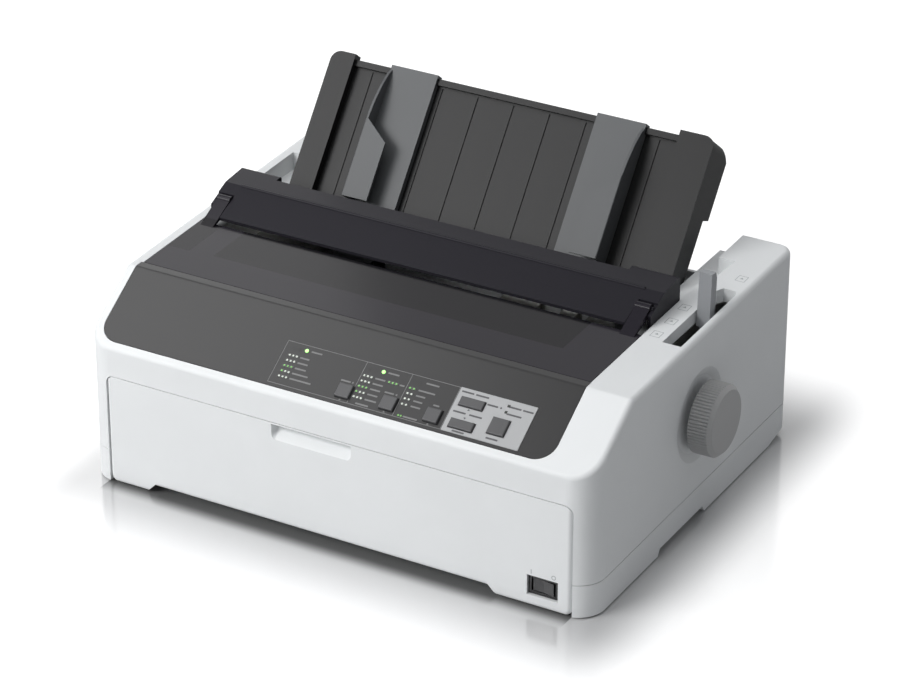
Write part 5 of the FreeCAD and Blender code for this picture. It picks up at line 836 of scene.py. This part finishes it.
class PRINTER_OT_stage(bpy.types.Operator):
    """Make the pale floor, the soft lights and the camera at the photograph's angle"""

    bl_idname = "printer.stage"
    bl_label = "Stage"

    def execute(self, context):
        self.floor()
        self.sky()
        self.lamps()
        self.camera()
        context.scene.view_settings.view_transform = "Standard"
        return {"FINISHED"}

    def floor(self):
        """A pale floor that glows to white for the camera away from the case; the glow fades to painted shade
        near the case, and a painted contact shadow darkens its colour there.
        """
        mesh = bmesh.new()
        bmesh.ops.create_grid(mesh, x_segments=1, y_segments=1, size=sizes().floor)
        finish = Finish("floor_pale")
        broad = finish.noise(size=0.8, detail=1.0)
        tone = finish.blend(broad, *FLOOR_TONES)
        low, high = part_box("upper_case")
        half = ((high[0] - low[0]) / 2, (high[1] - low[1]) / 2, 1.0)
        middle = ((high[0] + low[0]) / 2, (high[1] + low[1]) / 2, 0.0)
        place = finish.vector("ABSOLUTE", finish.vector("SUBTRACT", finish.place(), middle))
        # Painted light and shade: a glow seen only by the camera whitens the floor away from the case and
        # fades towards it, leaving painted shade near the case; stretched across, it rises sooner at the
        # sides, which lightens the shadow on the right
        around = self.past(finish, place, half, GLOW_STRETCH)
        # Painted shadow: the floor's colour darkens to the shade tone near the case, mostly along its front
        # and back
        before = self.past(finish, place, (half[0] - CORNER_ROUND, half[1], 1.0), PAINTED_SHADE_STRETCH)
        glow = finish.ramp(around, 0.0, GLOW_REACH, 0.0, GLOW_MOST, "SMOOTHSTEP")
        shaded = finish.ramp(before, 0.0, PAINTED_SHADE_REACH, 0.0, 1.0, "SMOOTHSTEP")
        tone = finish.blend(shaded, PAINTED_SHADE_TONE, tone)
        seen = finish.node("ShaderNodeLightPath", output="Is Camera Ray")
        matt = finish.surface(base_color=tone, roughness=0.9, specular_ior_level=0.0,
                              emission_color=glow * seen, emission_strength=1.0)
        gloss = finish.node("ShaderNodeBsdfAnisotropic", {}, {
            "Color": GLOSS_COLOUR, "Roughness": GLOSS_ROUGHNESS})
        finish.wire(finish.node("ShaderNodeMixShader", {}, {0: GLOSS_SHARE, 1: matt, 2: gloss}))
        floor = bpy.data.objects.new("floor", finished_mesh("floor", mesh))
        floor.data.materials.append(finish.material)
        bpy.context.scene.collection.objects.link(floor)

    def past(self, finish, place, half, scale):
        """How far a place lies outside an oblong, each axis stretched by its own scale."""
        beyond = finish.vector("MAXIMUM", finish.vector("SUBTRACT", place, half))
        beyond = finish.vector("MULTIPLY", beyond, scale)
        return finish.node("ShaderNodeVectorMath", {"operation": "LENGTH"}, {0: beyond}, output="Value")

    def sky(self):
        """A dim sky, brighter on the left; the camera and glass see white, and gloss sees white behind."""
        studio = Finish("studio", world=True)
        across, depth, _ = studio.axes()
        left = studio.ramp(across, -SKY_SIDE, SKY_SIDE, SKY_LEFT, SKY_RIGHT)
        behind = studio.ramp(depth, MIRROR_FROM, MIRROR_TO, MIRROR_FRONT, MIRROR_BACK)
        light, mirrored, seen = [
            studio.node("ShaderNodeBackground", {}, {"Color": colour, "Strength": strength})
            for colour, strength in ((SKY_COLOUR, left), (WHITE, behind), (WHITE, 1.0))]
        glossy, camera, clear = [
            studio.node("ShaderNodeLightPath", output=ray)
            for ray in ("Is Glossy Ray", "Is Camera Ray", "Is Transmission Ray")]
        soft = studio.node("ShaderNodeMixShader", {}, {0: glossy, 1: light, 2: mirrored})
        direct = studio.node("ShaderNodeMath", {"operation": "MAXIMUM"}, {0: camera, 1: clear})
        studio.wire(studio.node("ShaderNodeMixShader", {}, {0: direct, 1: soft, 2: seen}))
        bpy.context.scene.world = studio.material

    def lamps(self):
        for name, place, aim, size, power, on_matt, on_gloss in LAMPS:
            data = bpy.data.lights.new(name, "AREA")
            data.shape = "RECTANGLE"
            data.size, data.size_y = size
            data.energy = power
            lamp = bpy.data.objects.new(name, data)
            lamp.location = place
            lamp.rotation_euler = (Vector(aim) - Vector(place)).to_track_quat("-Z", "Y").to_euler()
            lamp.visible_camera = False
            lamp.visible_diffuse = on_matt
            lamp.visible_glossy = on_gloss
            bpy.context.scene.collection.objects.link(lamp)

    def camera(self):
        """The camera at the photograph's own angle, distance and field of view."""
        azimuth = math.radians(CAMERA_AZIMUTH)
        elevation = math.radians(CAMERA_ELEVATION)
        back = Vector((
            math.sin(azimuth) * math.cos(elevation),
            -math.cos(azimuth) * math.cos(elevation),
            math.sin(elevation),
        ))
        data = bpy.data.cameras.new("camera")
        data.sensor_fit = "HORIZONTAL"
        data.sensor_width = SENSOR_WIDE
        data.lens = FOCAL_PIXELS * SENSOR_WIDE / PHOTO_WIDE
        data.clip_start = CLIP_NEAR
        data.clip_end = CLIP_FAR
        camera = bpy.data.objects.new("camera", data)
        camera.location = Vector(CAMERA_TARGET) + back * CAMERA_DISTANCE
        camera.rotation_mode = "QUATERNION"
        camera.rotation_quaternion = (-back).to_track_quat("-Z", "Y")
        bpy.context.scene.collection.objects.link(camera)
        bpy.context.scene.camera = camera


OPERATORS = (
    PRINTER_OT_case,
    PRINTER_OT_panel,
    PRINTER_OT_covers,
    PRINTER_OT_paper_guide,
    PRINTER_OT_feed,
    PRINTER_OT_carriage,
    PRINTER_OT_electrics,
    PRINTER_OT_stage,
)


class PRINTER_PT_panel(bpy.types.Panel):
    """Sidebar list of the printer's groups of pieces and its colours"""

    bl_idname = "PRINTER_PT_panel"
    bl_label = "Printer"
    bl_space_type = "VIEW_3D"
    bl_region_type = "UI"
    bl_category = "Printer"

    def draw(self, context):
        layout = self.layout
        for group in (context.scene.printer_colours, context.scene.printer_sizes):
            for name in group.__annotations__:
                layout.prop(group, name)
        for operator in OPERATORS:
            layout.operator(operator.bl_idname)


CLASSES = (PrinterColours, PrinterSizes, *OPERATORS, PRINTER_PT_panel)


def register():
    for item in CLASSES:
        bpy.utils.register_class(item)
    bpy.types.Scene.printer_colours = bpy.props.PointerProperty(type=PrinterColours)
    bpy.types.Scene.printer_sizes = bpy.props.PointerProperty(type=PrinterSizes)


def unregister():
    del bpy.types.Scene.printer_sizes
    del bpy.types.Scene.printer_colours
    for item in reversed(CLASSES):
        bpy.utils.unregister_class(item)


def main():
    register()
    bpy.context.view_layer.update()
    for operator in OPERATORS:
        group, action = operator.bl_idname.split(".")
        getattr(getattr(bpy.ops, group), action)()


if __name__ == "__main__":
    main()
